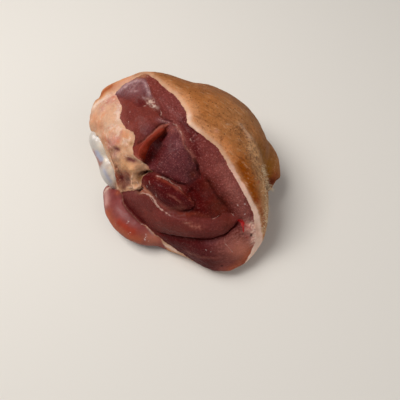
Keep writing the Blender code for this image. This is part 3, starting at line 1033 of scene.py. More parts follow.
# %% The lean's coat: the two lower muscles
lean.brush([
    (WINE, area(in_muscle["lower"], 3)),
    (MAROON, 0.8, 4.5, (-52, -22), (-48, -29), (-43, -34), (-37, -40), (-30, -46)),
    (TAN_ROSE, 0.6, 1.4, (-36, -18.2), (-31, -18.4), (-26, -18.6)),
    (UMBER, 0.7, 8, (43, -44)),
    (BRICK, 0.6, 5, (-30, -32), (-10, -47), (10, -50)),
    (RIM, 0.6, 0.8, (5.5, -42.7), (9, -43.5), (13.5, -44)),
    (RIM, 0.8 * torn, 1.9, (9, -44.5), (13, -45.8), (16, -46.5), (22, -47.6)),
    (UMBER, 0.9, 1.7, (1, -36.5), (10, -37.5), (15, -36.5), (22, -38), (29, -39)),
    (RED_BROWN, 0.8, 1, (1, -35.8), (10, -36.6), (16, -35.6)),
    (TAN_ROSE, 0.8, 1.6, (-30, -12.8), (-26.5, -16.4), (-22.5, -20.4), (-20.5, -23)),
    (MAROON, area(in_muscle["lowest"], 3)),
    (VIOLET, 0.45, 9, (29, -63)),
    (LILAC, 0.25, 1.8, (24, -61), (33, -60), (42, -57)),
    (RIM, 0.3, 1.2, (6, -69), (16, -73), (30, -75), (40, -73)),
    (ROSE, 0.9, 12, (46, -66)),
    (PALE_ROSE, 0.95, 11, (57, -68)),
    (PINK_VEIL, 0.7 * torn, 8, (54, -57)),
    (PINK_VEIL, 0.3 * torn, 8, (40, -64)),
    # Pale pink and white fat, partly its own colour, partly painted light where it faces away from the lamp.
    (DOME_PINK, 0.9, 4.6, (60, -45), (64, -50), (66.5, -56), (67, -63)),
    (FAT_WHITE, 0.95 * torn * skin.mark(3.4, (61, -45), (65, -49), (67.5, -55), (67.5, -63), taper=2)),
    (BLOOD, 0.22, 2.6, (61, -57)),
    (BLOOD, 0.4, 2.4, (55, -44), (60, -47), (63, -51)),
    (ROSE, 0.8, 9, (42, -86)),
    (FLAP_ORANGE, 0.8, 4, (64, -68), (59, -78), (50, -86), (42, -89)),
    # Deep red along the crevice and its end: painted shade under the overhanging muscle above it.
    (DEEP, 0.9, 1.4, (40, -55.5), (45, -51), (49.5, -45.5), (52.5, -42.6), (56, -43)),
    (DEEP, 0.75, 3, *CREVICE),
])

# %% [markdown]
# ## The rind and the stub
#
# Everything that isn't lean shares the second coat. The rind is tan near the cut and greyer round the back,
# with painted shade down its right side. The stub at the shank goes from gold to a dark rusty tip, with the
# shade on its underside and tip painted in.

# %% The second coat: rind and stub
from_end = np.linalg.norm(skin.points - np.array(end_place), axis=1) / MM
low_band = area(in_band, 1.6) * np.clip((12 - skin.v) / 12, 0, 1) * np.clip((skin.u - 36) / 10, 0, 1)
rest = Coat(skin, RIND)
rest.brush([
    (RIND_GREY, 0.85, 26, (56, 46)),
    (RIND_PINK, 0.6, 6, (18, 73), (40, 68), (56, 58), (68, 46)),
    # Painted shade down the rind's right side, which faces away from the lamp.
    (RIND_SHADE, 0.4, 6, (74, 40), (79, 26), (80, 10)),
    (STUB, np.exp(-(from_end / 30) ** 2)),
    (RIND_GOLD, 0.8, 2.6, (70, 24), (73, 14), (75.5, 4), (77.5, -5)),
    (STUB_GOLD, 0.95, 5.5, (78, 12), (80, 2), (82, -7)),
    (RUST, 0.7, 3.4, (90, 2), (88, -4), (84, -9), (80, -12.5)),
    # Painted shade on the stub's underside and its tip, over the rust.
    (STUB_TIP_SHADE, 0.9, 3.4, (88, -5), (84, -10), (79, -14)),
    (RUST, 0.7 * np.exp(-(from_end / 13) ** 2)),
    (STUB_TIP_SHADE, np.exp(-(from_end / 8.5) ** 2)),
])

# %% [markdown]
# ## The rim of fat
#
# The rim of fat is peach above and whiter below. Beside it lie a mustard stain, a rusty edge, pale streaks, a
# painted highlight along a fold of the rind, and a few dark freckles.

# %% The second coat: fat
rest.brush([
    (PEACH, 0.9 * area(in_band, 9, spread=5.0)),
    (FAT_ORANGE, 0.7, 4.5, (36, 25), (42, 15), (48, 5)),
    (FAT_PALE, 0.85 * area(in_lean, 4.0, spread=3.2)),
    (FAT_WHITE, 0.55, 2.2, (11, 46), (11, 38), (15, 33), (20, 29.6)),
    (RIND_BROWN, 0.9, 6.5, (-20, 88), (-6, 81.5), (10, 74), (30, 67)),
    (FASCIA, 0.7, 1.6, (-40, 85), (-32, 86), (-26, 84.5)),
    (FAT_PINK, 0.6, 3.4, (-62, 74.5), (-56, 77), (-47, 80.5), (-40, 84)),
    (RUST, 0.85, 2.2, (-74, 70), (-70, 74), (-64, 77), (-58, 79.5)),
    (GREIGE, 0.8, 5, (61, 24), (65, 14), (68, 4), (71, -6), (73, -20), (74.5, -34), (74.5, -48)),
    (MUSTARD, 1, 5, (50, 8), (56, -2), (60, -10), (64, -19), (67, -27)),
    (RUST, 0.95, 2.2, (67.5, -26)),
    (RUST, 0.95 * torn, 2.2, (70, -28), (72, -36), (74, -43), (74.5, -50)),
    (BLOOD, 0.6, 1.2, (68.5, -10.5)),
    # Painted highlight along the fold of the rind; the shorter strokes after it are pale streaks.
    (STREAK_AND_HIGHLIGHT, 0.85, 1.5, (51, 38.5), (53.5, 36.5), (56.5, 33), (58.3, 30.2), (60, 26.8), (63, 24.5)),
    (STREAK_AND_HIGHLIGHT, 0.5, 2.4, (61, 27)),
    (STREAK_AND_HIGHLIGHT, 0.8, 0.7, (41, 37), (45, 36.5)),
    (STREAK_AND_HIGHLIGHT, 0.9, 0.7, (60.2, 18.8), (61.6, 15.8)),
    (FAT_PINK, 0.5, 1.6, (33, 30.5)),
    *((PORE, 0.6, 0.8, place) for place in
      ((34, 42.5), (37.5, 25.5), (36.3, 23), (52.5, 15), (26, 52), (18, 50), (45, 12))),
    (FAT_WHITE, 0.95 * low_band),
    (FAT_PINK, 0.45 * low_band * np.clip((skin.v + 34) / 30, 0, 1)),
    (FAT_PINK, 0.5 * low_band, 2.4, (66, -44), (69, -52), (70.5, -60)),
    (FAT_WHITE, 1, 1.7, (-20, -64), (-12, -66.6), (-6, -68.8), (0, -72.6)),
])

# %% [markdown]
# ## The knee
#
# The knee is peach fat over the joint, with white, orange and red patches. An olive dab below the orange lump is
# the painted shadow under it.

# %% The second coat: knee
rest.brush([
    (DOME, area(in_knee, 3)),
    *((DOME_ORANGE, 0.75, radius, place) for place, radius in
      (((-76, 49), 5), ((-68, 29), 4), ((-62, 27), 4), ((-70, 41), 5), ((-44, 29), 3.5))),
    *((DOME_PINK, 0.8, radius, place) for place, radius in
      (((-60, 64), 5), ((-54, 68), 3), ((-56, 22), 5), ((-50, 27), 3), ((-66, 55), 3))),
    *((DOME_RED, 0.8, radius, place) for place, radius in
      (((-46, 32), 1.2), ((-63, 62), 1.6), ((-57, 66), 1.2), ((-60, 21), 2), ((-50, 24), 1.8))),
    (DOME_WHITE, 0.75, 2.8, (-81, 58), (-75, 62.5), (-68, 66), (-61, 70)),
    (DOME_RED, 0.6 * torn, 1.5, (-70, 62), (-64, 65.5), (-57, 67), (-52, 62)),
    (DOME_WHITE, 0.7 * torn, 5, (-55, 36)),
    (DOME_PINK, 0.8 * torn, 2.2, (-53, 64), (-50.5, 57), (-51, 48)),
    (DOME_WHITE, 0.6, 1.6, (-51, 58), (-51, 48), (-48, 41)),
    (BLOOD, 0.45, 0.7, (-50.8, 38.5), (-50.2, 33.5)),
    (DOME_RED, 0.75, 1.5, (-62, 30), (-59.5, 26), (-58, 21)),
    (DOME_RED, 0.8 * torn, 1.2, (-56, 33), (-52, 29.5), (-48, 26)),
    (DOME_PINK, 0.7, 2.6, (-57, 29), (-54, 25), (-51, 22)),
    (PEACH, 0.5, 3.6, (-41, 28)),
    # Painted shadow under the orange lump of fat.
    (OLIVE_SHADOW, 0.8, 2.4, (-37.5, 21.5)),
])

# %% [markdown]
# ## The gristle
#
# Below the knee the gristle is tan, with grey tendons, pale strands and red pockets. The dark olive corner under
# the tendon and the slit beside it are painted shade.

# %% The second coat: gristle
rest.brush([
    (GRISTLE, area(in_ligament, 2)),
    (GRISTLE_TAN, 1, 5.5, (-43.5, 4)),
    (GRISTLE_TAN, 0.8, 3.2, (-36.5, 0.5)),
    (GRISTLE_PALE, 0.8, 3, (-36.5, 16)),
    (GRISTLE_PALE, 0.7, 1.8, (-49, 12)),
    (DOME_PINK, 0.7, 3.5, (-54, 15)),
    (PURPLE, 0.5 * torn, 3, (-57.5, 18)),
    (DOME_RED, 0.5 * torn, 5, (-54, 24)),
    (RED_BROWN, 0.8, 1.2, (-55, 4.8)),
    (GRISTLE_PALE, 0.5, 1.3, (-47, 17.5), (-43, 14.5), (-39, 14.5)),
    (GRISTLE_GREY, 0.8, 1.5, (-36, 14), (-32, 8.8), (-28, 5), (-23.5, 1.6), (-20.5, -0.6)),
    (RED_BROWN, 0.6, 0.9, (-24, 2.5), (-20, -1)),
    (PURPLE, 1, 1.9, (-55, 20), (-51.5, 18.5), (-48.5, 16.5)),
    (PURPLE, 1, 1.9, (-42, 10.5), (-38, 8.5), (-34, 7), (-31.5, 6)),
    (RED_BROWN, 0.8, 1.3, (-60, 12), (-59, 7.5), (-57, 4)),
    (RED_BROWN, 0.9, 6.5, (-52, -5)),
    (MAROON, 1, 4.2, (-53.5, -6)),
    (RED_BROWN, 0.75, 1.5, (-61, 16), (-59.8, 10), (-58.3, 5), (-58, -1), (-57.5, -7), (-55.5, -13)),
    (RED_BROWN, 0.8, 3.5, (-43, -3)),
    (PURPLE, 0.9, 5, (-45, -8.5)),
    (GRISTLE_GREY, 0.35 * torn, 3.5, (-45, -8)),
    (MAROON, 0.8, 3.6, (-50, -13)),
    (GRISTLE_TAN, 0.6, 1.8, (-37, -2.5), (-39, -7), (-38, -12)),
    (GRISTLE_PALE, 0.8, 0.9, (-35.5, -3.5), (-38, -8), (-37.5, -12), (-34, -14.3), (-30, -13)),
    (GRISTLE_PALE, 0.95, 0.8, (-46, -13.6), (-40, -14.3), (-35, -14.5), (-31, -15.2)),
    # Painted shade in the corner under the tendon, and in the slit beside it.
    (OLIVE_CORNER_SHADE, 1, 3.4, (-30.5, -6.5)),
    (DEEP, 0.95, 1.3, (-30, -3.5), (-26, -2.6), (-21, -2.2)),
])

# %% [markdown]
# ## The joint and the flap
#
# Cartilage is cream and white, and the flap is pink with an orange underside. A pale film along its upper left
# edge is partly a painted sheen, and the dark line along its edge is painted shade in the groove there.

# %% The second coat: cartilage and flap
rest.brush([
    (CREAM, area(in_cartilage, 2)),
    (FLAP_DUSK, flap_share),
    (FLAP_MAUVE, 0.95 * flap_share, 9, (-52, -36)),
    (FLAP_MAUVE, 0.7 * flap_share, 5, (-42, -46)),
    (FLAP_ORANGE, 0.9 * flap_share, 6.5, (-70, -34), (-64, -46), (-54, -54), (-44, -60), (-32, -64)),
    (FLAP_RED, 0.75 * flap_share, 3.4, (-57, -44), (-47, -50), (-38, -56)),
    (PALE_ROSE, flap_share, 8, (-23, -61)),
    # Painted shade in the groove along the flap's edge.
    (MAROON, 0.6, 1.3, *FLAP_EDGE[:7]),
    # Pale film on the flap's upper left edge, with a painted sheen on it.
    (FLAP_FILM_AND_SHEEN, 0.95 * flap_share, 3.2, (-70.5, -15), (-69, -23), (-68, -31)),
    (DOME_WHITE, 0.8 * torn, 1.1, (-72, -19), (-71, -16), (-67, -13.5), (-62, -12.2)),
    (FILM, 0.9 * flap_share, 0.9, (-29, -48.8), (-25.5, -53), (-22.3, -57)),
    (FLAP_ORANGE, 0.8 * flap_share, 2.4, (-58, -18)),
])

# %% [markdown]
# ## Grain
#
# Muscle is bundles of fibre. They run along each muscle and bend with it, which no pattern fixed in space can
# follow. So each muscle gets a grain line, and every point stores how far along it and how far beside it lies.
# Noise that is stretched along the first of these numbers then streaks the meat the right way.

# %% Grain lines and their numbers
GRAINS = {
    "veiled": [(-60, 66), (-44, 72), (-28, 70), (-18, 60)],
    "long": [(-34, 90), (-12, 66), (6, 40), (26, 12), (46, -16), (68, -52)],
    "upper": [(-60, 72), (-44, 54), (-28, 34), (-16, 16)],
    "lip": [(-2, 42), (-14, 30), (-28, 16), (-30, 2)],
    "middle": [(-26, 4), (-8, 6), (6, 0), (20, -16)],
    "round": [(-34, -4), (-18, -12), (-4, -22), (16, -36)],
    "between": [(8, -6), (18, -20), (34, -34), (44, -46)],
    "lower": [(-62, -18), (-40, -26), (-16, -42), (8, -48), (34, -48), (60, -38)],
    "lowest": [(-30, -54), (0, -68), (30, -74), (60, -66), (84, -44)],
}
GRAIN_SHIFT = 7.0

grain = np.zeros((len(skin.points), 3))
deepest = np.full(len(skin.points), -1e9)
for number, (name, points) in enumerate(GRAINS.items()):
    away, side, along = away_from(smooth_line(points), skin.u, skin.v)
    own = in_muscle[name] > deepest
    deepest[own] = in_muscle[name][own]
    grain[own] = np.stack([along, away * side, np.full(len(away), GRAIN_SHIFT * number)], axis=1)[own]
print("grain lines:", len(GRAINS))

# %% [markdown]
# ## Thin marks
#
# The thin marks go on as numbers, so that the material can fray their edges: pale seams, the painted shade in
# clefts and pits, and the blood at a cut vein. A row is the mark's strength, its width and its points.

# %% Strokes for the material
SEAMS = [
    (0.8, 0.7, (-17, -5), (-14, -6), (-10.5, -7), (-8, -8.5), (-5, -10), (0, -13)),
    (1, 0.95, (-26, -19.8), (-22.5, -21.5), (-19.5, -24), (-16, -30), (-13.5, -32.7), (-11, -34.5)),
    (0.7, 0.8, (-11, -34.5), (-7, -36.5), (-3.5, -38.5)),
    (0.65, 0.6, (29, -40.8), (31.5, -40.6), (33.5, -39.8), (35, -38.5), (36.5, -37.2)),
    (0.9, 0.9, (-13.2, 48.5), (-12, 45)),
    (0.55, 0.8, (-6, 38.5), (0, 36.8), (3.5, 30.7), (5.7, 25)),
    (0.42, 0.8, (7.3, 19), (10, 15.2), (12.5, 12.5)),
    (0.5, 0.7, (2, -14), (7, -19), (12, -23.5), (15.5, -28.5)),
    (0.6, 0.7, (-22, -9), (-21, -13)),
    (0.6, 0.7, (-17, -20), (-15.5, -24)),
    (0.45, 0.5, (-6, -20.5), (0, -24), (5, -28)),
    (0.42, 0.6, (-14, -26), (-5, -30.5), (6, -31.5)),
    (0.6, 0.6, (40, -60.5), (44, -65.5), (48, -70)),
    (0.5, 0.7, (40.5, -57), (41, -61)),
    (0.75, 0.9, (46, -36), (48, -38.5)),
    (0.55, 0.8, (6, -43), (12, -44)),
    (0.5, 1.2, (11, -45), (14, -46.3)),
    (0.6, 0.8, (10, -71), (14, -72.5)),
    (0.6, 1.8, (-23.8, 61.5), (-21.5, 58.5), (-19, 54.5), (-17, 52)),
    (0.8, 1.3, (-26.5, 59), (-23.5, 56)),
    (0.8, 0.9, (-28.5, 54), (-25, 54.6)),
    (0.42, 1.2, (-50, 75), (-43, 79), (-34, 80.5)),
    (0.42, 1, (-33, 80), (-28.5, 77.5), (-25.5, 70)),
    (0.6, 0.8, (-9, 42), (-14, 42.5)),
    (0.6, 0.6, (11, 25.5), (14.3, 21)),
    (0.5, 0.9, (39, -18), (42, -19)),
    (0.4, 0.7, (35, -37), (39, -38)),
    (0.85, 0.8, (-72.5, -20), (-71, -16), (-67, -13.2), (-61, -11.8)),
    (0.7, 0.8, (-60.5, -4), (-59, -10), (-56.5, -15)),
]
# Clefts, grooves and pits, painted near black as the shade that falls in them.
SHADED_CLEFTS = [
    (0.6, 1, *CREVICE),
    (0.7, 1.3, (15.5, 8), (17.8, 2), (19, -3), (19.5, -7)),
    (0.6, 1.1, (25, -8), (28, -13.5), (32, -20), (36, -25.5), (40, -30), (43, -33.5)),
    (1, 1, (-30, -3), (-26, -2.4), (-20.5, -2.2)),
    (0.8, 0.7, (5, -34.5), (10, -34.5), (13, -33.3), (15.5, -31)),
    (0.6, 0.8, (-10, -7), (-4, -11), (3, -13.2)),
    (0.6, 0.9, (10, 37), (15, 31.5), (20.5, 27)),
    (0.6, 0.7, (-13, 46), (-10, 42.5), (-6, 40)),
    (0.8, 0.8, (-35, -17), (-30, -16.5), (-27.5, -15)),
    (0.3, 0.9, *FLAP_EDGE[:6]),
    (0.25, 2.2, (20, -7), (22, -30)),
    (1, 1.3, (64, -56.4)),
    (1, 0.8, (63.2, -54.6)),
    (1, 1.2, (39, -82.4)),
    (1, 1.3, (76.3, -15)),
]
BLOOD_MARKS = [
    (1, 1.7, (50.5, -42.4), (53.5, -42.9), (57.5, -45)), (1, 2.2, (55.6, -45.6)),
    (0.9, 1.3, (55.3, -46), (56.4, -49), (57.4, -53)), (0.7, 0.9, (57, -45), (60, -48)),
]


def strongest(rows, taper=4.0):
    """The strongest of the marks at each point. A row is an amount, a width and the points."""
    return np.maximum.reduce([amount * skin.mark(*mark, taper=taper) for amount, *mark in rows])


seams = strongest(SEAMS, taper=3.0)
cleft_shade = strongest(SHADED_CLEFTS)
blood = strongest(BLOOD_MARKS)
print("marks:", len(SEAMS), "seams and", len(SHADED_CLEFTS), "cleft_shade")

# %% [markdown]
# ## Looks
#
# Two more numbers say how speckled and how wet the meat is: the dark muscles are full of tiny pale flecks, in
# part painted glints, while the smooth ones and the flap shine. A third says where pale glints are painted in.
# Then all the numbers are stored on the mesh, three to an attribute.

# %% Speckles, shine and the stored numbers
# Places of the painted glints: pale spots where a highlight is painted on the wet meat.
PAINTED_GLINT_PLACES = [
    (1.7, (-45.5, -45.5)), (1.2, (-28.8, -55.8)), (1.2, (-28, -58.2)), (1.7, (-30, -61)), (1, (-26.5, -62)),
    (1, (-58.5, -47.5)), (0.8, (-43.5, -54.5)), (0.8, (-37.7, -52.7)), (0.9, (-33.5, -47)), (1.1, (56.5, -29)),
    (1.1, (50.5, -29.5)), (0.8, (57.5, -36.5)), (0.8, (-39, 48.5)), (1, (-40, 40)), (0.8, (-24, -13.5)),
    (0.8, (-16, -21)), (0.9, (25, -67)), (0.9, (29, -68.5)), (0.8, (-46, -56)), (0.9, (47, -38)),
]
SPECKLED = {
    "veiled": 0.3, "long": 0.9, "upper": 0.35, "lip": 0.1, "middle": 0.8, "round": 0.5, "lower": 0.3, "lowest": 0.5,
    "between": 0.4,
}

glint_spots = np.maximum.reduce([skin.mark(radius, place) for radius, place in PAINTED_GLINT_PLACES])
speckled = np.zeros(len(skin.points))
for name, amount in SPECKLED.items():
    speckled = np.maximum(speckled, amount * area(in_muscle[name], 2))
wet = np.maximum(0.35 * flap_share, 0.2 * lean_share)
nearness = [np.clip(reach, -FAR, FAR) for reach in (in_lean, in_band, in_ligament)]
skin.store("edges", np.stack(nearness, axis=1))
skin.store("marks", np.stack([seams, cleft_shade, blood], axis=1))
skin.store("looks", np.stack([speckled, wet, glint_spots], axis=1))
covering = np.maximum(flap_share, area(in_cartilage, 2))
skin.store("zones", np.stack([knee_share, gristle_share, covering], axis=1))
skin.store("grain", grain)
skin.store("lean_coat", lean.colours, colour=True)
skin.store("rest_coat", rest.colours, colour=True)
print("attributes:", [a.name for a in meat.data.attributes])

# %% [markdown]
# ## The flesh: where each tissue is
#
# One material covers the meat, because fat, lean and rind are one skin here. First it reads the numbers that were
# stored on the mesh, and frays the line between lean and rind with fine noise.

# %% Read the stored numbers
flesh = new_material("flesh")
place = object_place()
edges, marks, looks, zones, run = (painted(name, 1) for name in ("edges", "marks", "looks", "zones", "grain"))
speckle, shine = channel(looks, 0), channel(looks, 1)
knee, gristle, covered = (channel(zones, which) for which in range(3))

fray = (clouds(place, 800, 3) - 0.5) * 1.2
lean_only = rise(channel(edges, 0) + fray, -0.2, 0.2)
rind_only = rise(0 - channel(edges, 1) + fray * 1.5, -0.5, 2.0)
rind_only = rind_only * (1 - covered) * (1 - knee) * (1 - gristle) * (1 - lean_only)
print("flesh so far:", len(Shade.tree.nodes), "nodes")

# %% [markdown]
# ## The flesh: lean
#
# The lean's coat is broken up by what the mesh is too coarse for: streaks of fibre along the grain, soft patches,
# a grit of light and dark, and tiny pale flecks in the speckled muscles, partly fat and partly painted glints.

# %% Fibres and flecks
FLECK = tone(178, 120, 112)
fibres = clouds(stretched(run, (0.09, 0.8, 1)), 1.0, 4, 0.65, 0.5)
fine_fibres = clouds(stretched(run, (0.30, 2.6, 1)), 1.0, 3, 0.6)
patches = clouds(place, 120, 3, 0.6)
grit = clouds(place, 1300, 2, 0.6)
grains = clouds(place, 650, 2, 0.6)
light = 0.30 + fibres * 0.56 + patches * 0.50 + fine_fibres * 0.34
light = light + (grit - 0.5) * (0.3 + speckle * 0.5) + (grains - 0.5) * (0.2 + speckle * 0.5)
lean_shade = scaled(painted("lean_coat"), light)
haze = rise(patches + (fibres - 0.5) * 0.6, 0.56, 0.85) * (0.04 + speckle * 0.12)
lean_shade = mix(haze, lean_shade, HAZE)
# Pale flecks: partly fat, partly painted glints of wet meat.
fat_and_glint_flecks = rise(grit * 0.45 + grains * 0.55, 0.56, 0.69) * speckle * 0.55
lean_shade = mix(fat_and_glint_flecks, lean_shade, FLECK)
print("flesh so far:", len(Shade.tree.nodes), "nodes")

# %% [markdown]
# ## The flesh: rind, knee and gristle
#
# The second coat gets its own detail. The rind has pores, freckles and fine folds that run one way, the knee has
# orange and white blotches and red creases, and the gristle has pale strands.

# %% Pores, folds and blotches
SCRAPE = tone(204, 160, 122)
RIND_RUN = facing_way(0.86, -0.51, 0)
mottle = clouds(place, 95, 4, 0.65)
fine = clouds(place, 600, 3, 0.6)
coarse = 0.3 + rind_only * 0.7
pores = rise(0.26 - cells(place, 1000), 0.0, 0.16) * rind_only
freckles = rise(0.22 - cells(place, 300), 0.0, 0.08) * rise(clouds(place, 60, 2), 0.4, 0.58) * rind_only
folds = clouds(streaked(place, RIND_RUN, 5), 420, 3, 0.65)
winding = (clouds(place, 105, 3, 0.6) - 0.5).maths("ABSOLUTE", 0)
creases = rise(0.022 - winding, 0.0, 0.022) * rise(clouds(place, 70, 1), 0.42, 0.6) * knee
strands = rise(clouds(stretched(place, (1, 1, 2.6), (0.4, 0.5, 0.3)), 330, 3, 0.65), 0.54, 0.72)
rest_shade = scaled(painted("rest_coat"), 0.62 + mottle * 0.62 + (fine - 0.5) * coarse * 0.6 + (grit - 0.5) * 0.25)
for share, colour in (
    (pores * 0.4, PORE),
    (freckles * 0.8, PORE),
    (rise(folds, 0.55, 0.72) * rind_only * 0.38, SCRAPE),
    (rise(0.47 - folds, 0.0, 0.14) * rind_only * 0.35, PORE),
    (rise(clouds(place, 130, 3, 0.65), 0.53, 0.7) * knee * 0.5, DOME_ORANGE),
    (rise(clouds(place, 160, 3, 0.65, 0.4), 0.53, 0.68) * knee * 0.45, DOME_WHITE),
    (creases * 0.45, DOME_RED),
    (strands * (gristle * 0.4 + knee * 0.2), GRISTLE_PALE),
    (rise(clouds(place, 420, 3, 0.7), 0.57, 0.72) * gristle * 0.3, PURPLE),
):
    rest_shade = mix(share, rest_shade, colour)
print("flesh so far:", len(Shade.tree.nodes), "nodes")

# %% [markdown]
# ## The flesh: seams, blood and shine
#
# Last come the frayed white seams, the painted shade in the clefts, the blood and the painted glints. A little
# light travels under the surface, and a thin wet coat lies on it.

# %% Marks, relief and shader
SILVER = tone(200, 158, 144)
# The colour of the painted glints.
GLINT_PAINT = tone(228, 204, 198)
frayed = (clouds(place, 700, 2) - 0.5) * 0.5
ragged = (clouds(place, 260, 3, 0.6) - 0.5) * 1.1
seam = rise(channel(marks, 0) + frayed + ragged, 0.35, 0.9)
red = rise(channel(marks, 2) + frayed, 0.35, 0.65)
# Painted glints: pale highlight spots, frayed by noise, which also get a glossier coat.
painted_glint = rise(channel(looks, 2) + (clouds(place, 1500, 2, 0.6) - 0.5) * 2.4, 0.62, 0.95)
base = mix(lean_only, rest_shade, lean_shade)
# Pale seams, then the painted shade in the clefts, the blood and the painted glints.
for share, colour in (
    (seam * 0.78, SILVER), (rise(channel(marks, 1), 0.15, 0.95) * 0.92, CLEFT_SHADE), (red * 0.92, BLOOD),
    (painted_glint * 0.7, GLINT_PAINT),
):
    base = mix(share, base, colour)

wrinkle = clouds(place, 430, 4, 0.65, 0.6)
lean_lift = (fine_fibres - 0.5) * 0.8 + (fibres - 0.5) * 0.8 + (grains - 0.5) * (0.4 + speckle * 0.6)
rest_lift = (wrinkle - 0.5) * (coarse + 0.3) - pores * 0.6 - creases * 0.3 + (mottle - 0.5) * 0.6
lift = lean_only * lean_lift + (1 - lean_only) * rest_lift + rind_only * (folds - 0.5) * 1.4
finish_material({
    "Base Color": base,
    "Roughness": 0.54 - shine * 0.22 - painted_glint * 0.3 - red * 0.2 + (fine - 0.5) * 0.2,
    "Normal": bump(lift + seam * 0.3, 0.8, 0.0006),
    "Coat Weight": shine * 0.24 + painted_glint * 0.5 + red * 0.4,
    "Coat Roughness": 0.16,
    "Specular IOR Level": 0.07,
    "Subsurface Weight": 0.15,
    "Subsurface Radius": (1.0, 0.35, 0.2),
    "Subsurface Scale": 0.0018,
    "IOR": 1.4,
})


def dress(piece, material, node=None):
    """Gives a piece its material and its place in the frame."""
    piece.data.materials.clear()
    piece.data.materials.append(material)
    if node:
        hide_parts(node)
    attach(piece, "root")


dress(meat, flesh, "meat")
print("flesh:", len(Shade.tree.nodes), "nodes")

# %% [markdown]
# ## Tubes for thin things
#
# Strands, hairs and stubble are all thin tubes along a path. A ball with as many rings as the path has points is
# reshaped ring by ring, which closes both ends in a point. A flat factor presses a tube down onto the meat.

# %% A tube along a path
def tube_along(bm, path, radii, sides, up, flat=1.0):
    """A closed tube with a ring at each point of the path, drawn to a point at both ends."""
    last = len(path) - 1
    ball = bmesh.ops.create_uvsphere(bm, u_segments=sides, v_segments=last, radius=1)
    for vert in ball["verts"]:
        ring = round(math.acos(max(-1, min(1, vert.co.z))) / math.pi * last)
        angle = math.atan2(vert.co.y, vert.co.x)
        way = (path[min(ring + 1, last)] - path[max(ring - 1, 0)]).normalized()
        side = way.cross(up).normalized()
        lift = side.cross(way)
        vert.co = path[ring] + (side * math.cos(angle) + lift * math.sin(angle) * flat) * radii[ring]


# %% [markdown]
# ## Silverskin
#
# The sheets between the muscles show as thin white threads where the knife has torn them. Each thread follows a
# line on the cut, keeps to the skin, wanders a little and swells and thins. It is a real piece, because the
# light catches its edge.

# %% Threads of silverskin
THREADS = [
    ([(-31, -19.3), (-26, -19.5), (-21, -22.4), (-17.5, -27.2), (-14, -31.8), (-10, -34.6)], 0.40),
    ([(-24, -20.4), (-21.5, -23.4), (-18.6, -27.6), (-15.4, -31.6)], 0.26),
    ([(-15, -5.6), (-10.5, -7), (-8, -8.4), (-5.5, -9.8)], 0.26),
    ([(-6, -9.8), (-1, -12.6), (4, -15)], 0.26),
    ([(30, -40.7), (33.5, -39.8), (36.5, -37.3)], 0.15),
    ([(-13.6, 50), (-12.6, 47.6), (-11.8, 45)], 0.42),
    ([(-15.5, 42), (-10.5, 40.2), (-5, 39)], 0.34),
    ([(-14, 40.5), (-9.5, 38.8), (-6, 37)], 0.28),
    ([(-1, 37), (3.4, 31), (5.6, 25.2)], 0.16),
    ([(7.2, 19.5), (9.8, 15.4), (12.5, 12.6)], 0.14),
    ([(-28.8, -49.2), (-25.5, -53), (-22.5, -56.8)], 0.5),
    ([(-22, -8.5), (-21, -13)], 0.3),
    ([(-24.5, -12.5), (-23.6, -15)], 0.36),
    ([(-16.6, -19.5), (-15.4, -23.5)], 0.34),
    ([(40, -60.5), (44, -65.5), (48, -70)], 0.24),
    ([(40.4, -56.6), (41, -61)], 0.22),
    ([(46, -36), (48.2, -38.4)], 0.36),
    ([(-44, -13.8), (-40, -14.2), (-36, -14.4)], 0.42),
    ([(-36, -2.8), (-38.4, -8), (-37.6, -12)], 0.42),
    ([(-33, -9.5), (-31.4, -13), (-28.5, -15.5), (-25, -18)], 0.42),
    ([(-48, 14), (-44, 12.2), (-39, 12.5)], 0.3),
    ([(-54, 14), (-51.5, 11), (-51.8, 8)], 0.3),
    ([(-45, 10), (-40.5, 11), (-35, 10)], 0.28),
    ([(-56, 4), (-53, 0), (-52, -3)], 0.32),
    ([(-72.6, -21), (-71.2, -16), (-67, -13.1), (-61, -11.6)], 0.5),
    ([(-24.5, 74), (-23.4, 69), (-22.4, 64)], 0.26),
]
THREAD_STEP = 0.9
THREAD_SIDES = 6
THREAD_FLAT = 0.45
THREAD_SLIMNESS = 0.7
SWAY = 0.4


def thread_path(points, radius, number):
    """The places and radii of a thread that lies on the skin."""
    line = smooth_line(points)
    lengths = np.concatenate([[0], np.cumsum(np.hypot(*np.diff(line, axis=0).T))])
    count = max(4, round(lengths[-1] / THREAD_STEP))
    path = []
    radii = []
    for i in range(count + 1):
        at = lengths[-1] * i / count
        u, v = (np.interp(at, lengths, line[:, axis]) for axis in range(2))
        sway = noise.noise_vector(Vector((at * 0.35, number * 3.1, 0)))
        point, _ = skin.top(u + sway.x * SWAY, v + sway.y * SWAY)
        swell = 0.6 + 0.8 * abs(noise.noise(Vector((at * 0.5, number * 7.7, 4))))
        path.append(point)
        radii.append(radius * swell * THREAD_SLIMNESS * MM)
    return path, radii


bm = bmesh.new()
for number, (points, radius) in enumerate(THREADS):
    path, radii = thread_path(points, radius, number)
    tube_along(bm, path, radii, THREAD_SIDES, OUTWARD, THREAD_FLAT)
bmesh.ops.recalc_face_normals(bm, faces=bm.faces)
threads = new_piece("silverskin_threads", bm)
print("threads:", len(THREADS))

# %% [markdown]
# ## What silverskin looks like
#
# A thread is pale, moist and a little see-through to light, with darker wisps of meat that cling to it.

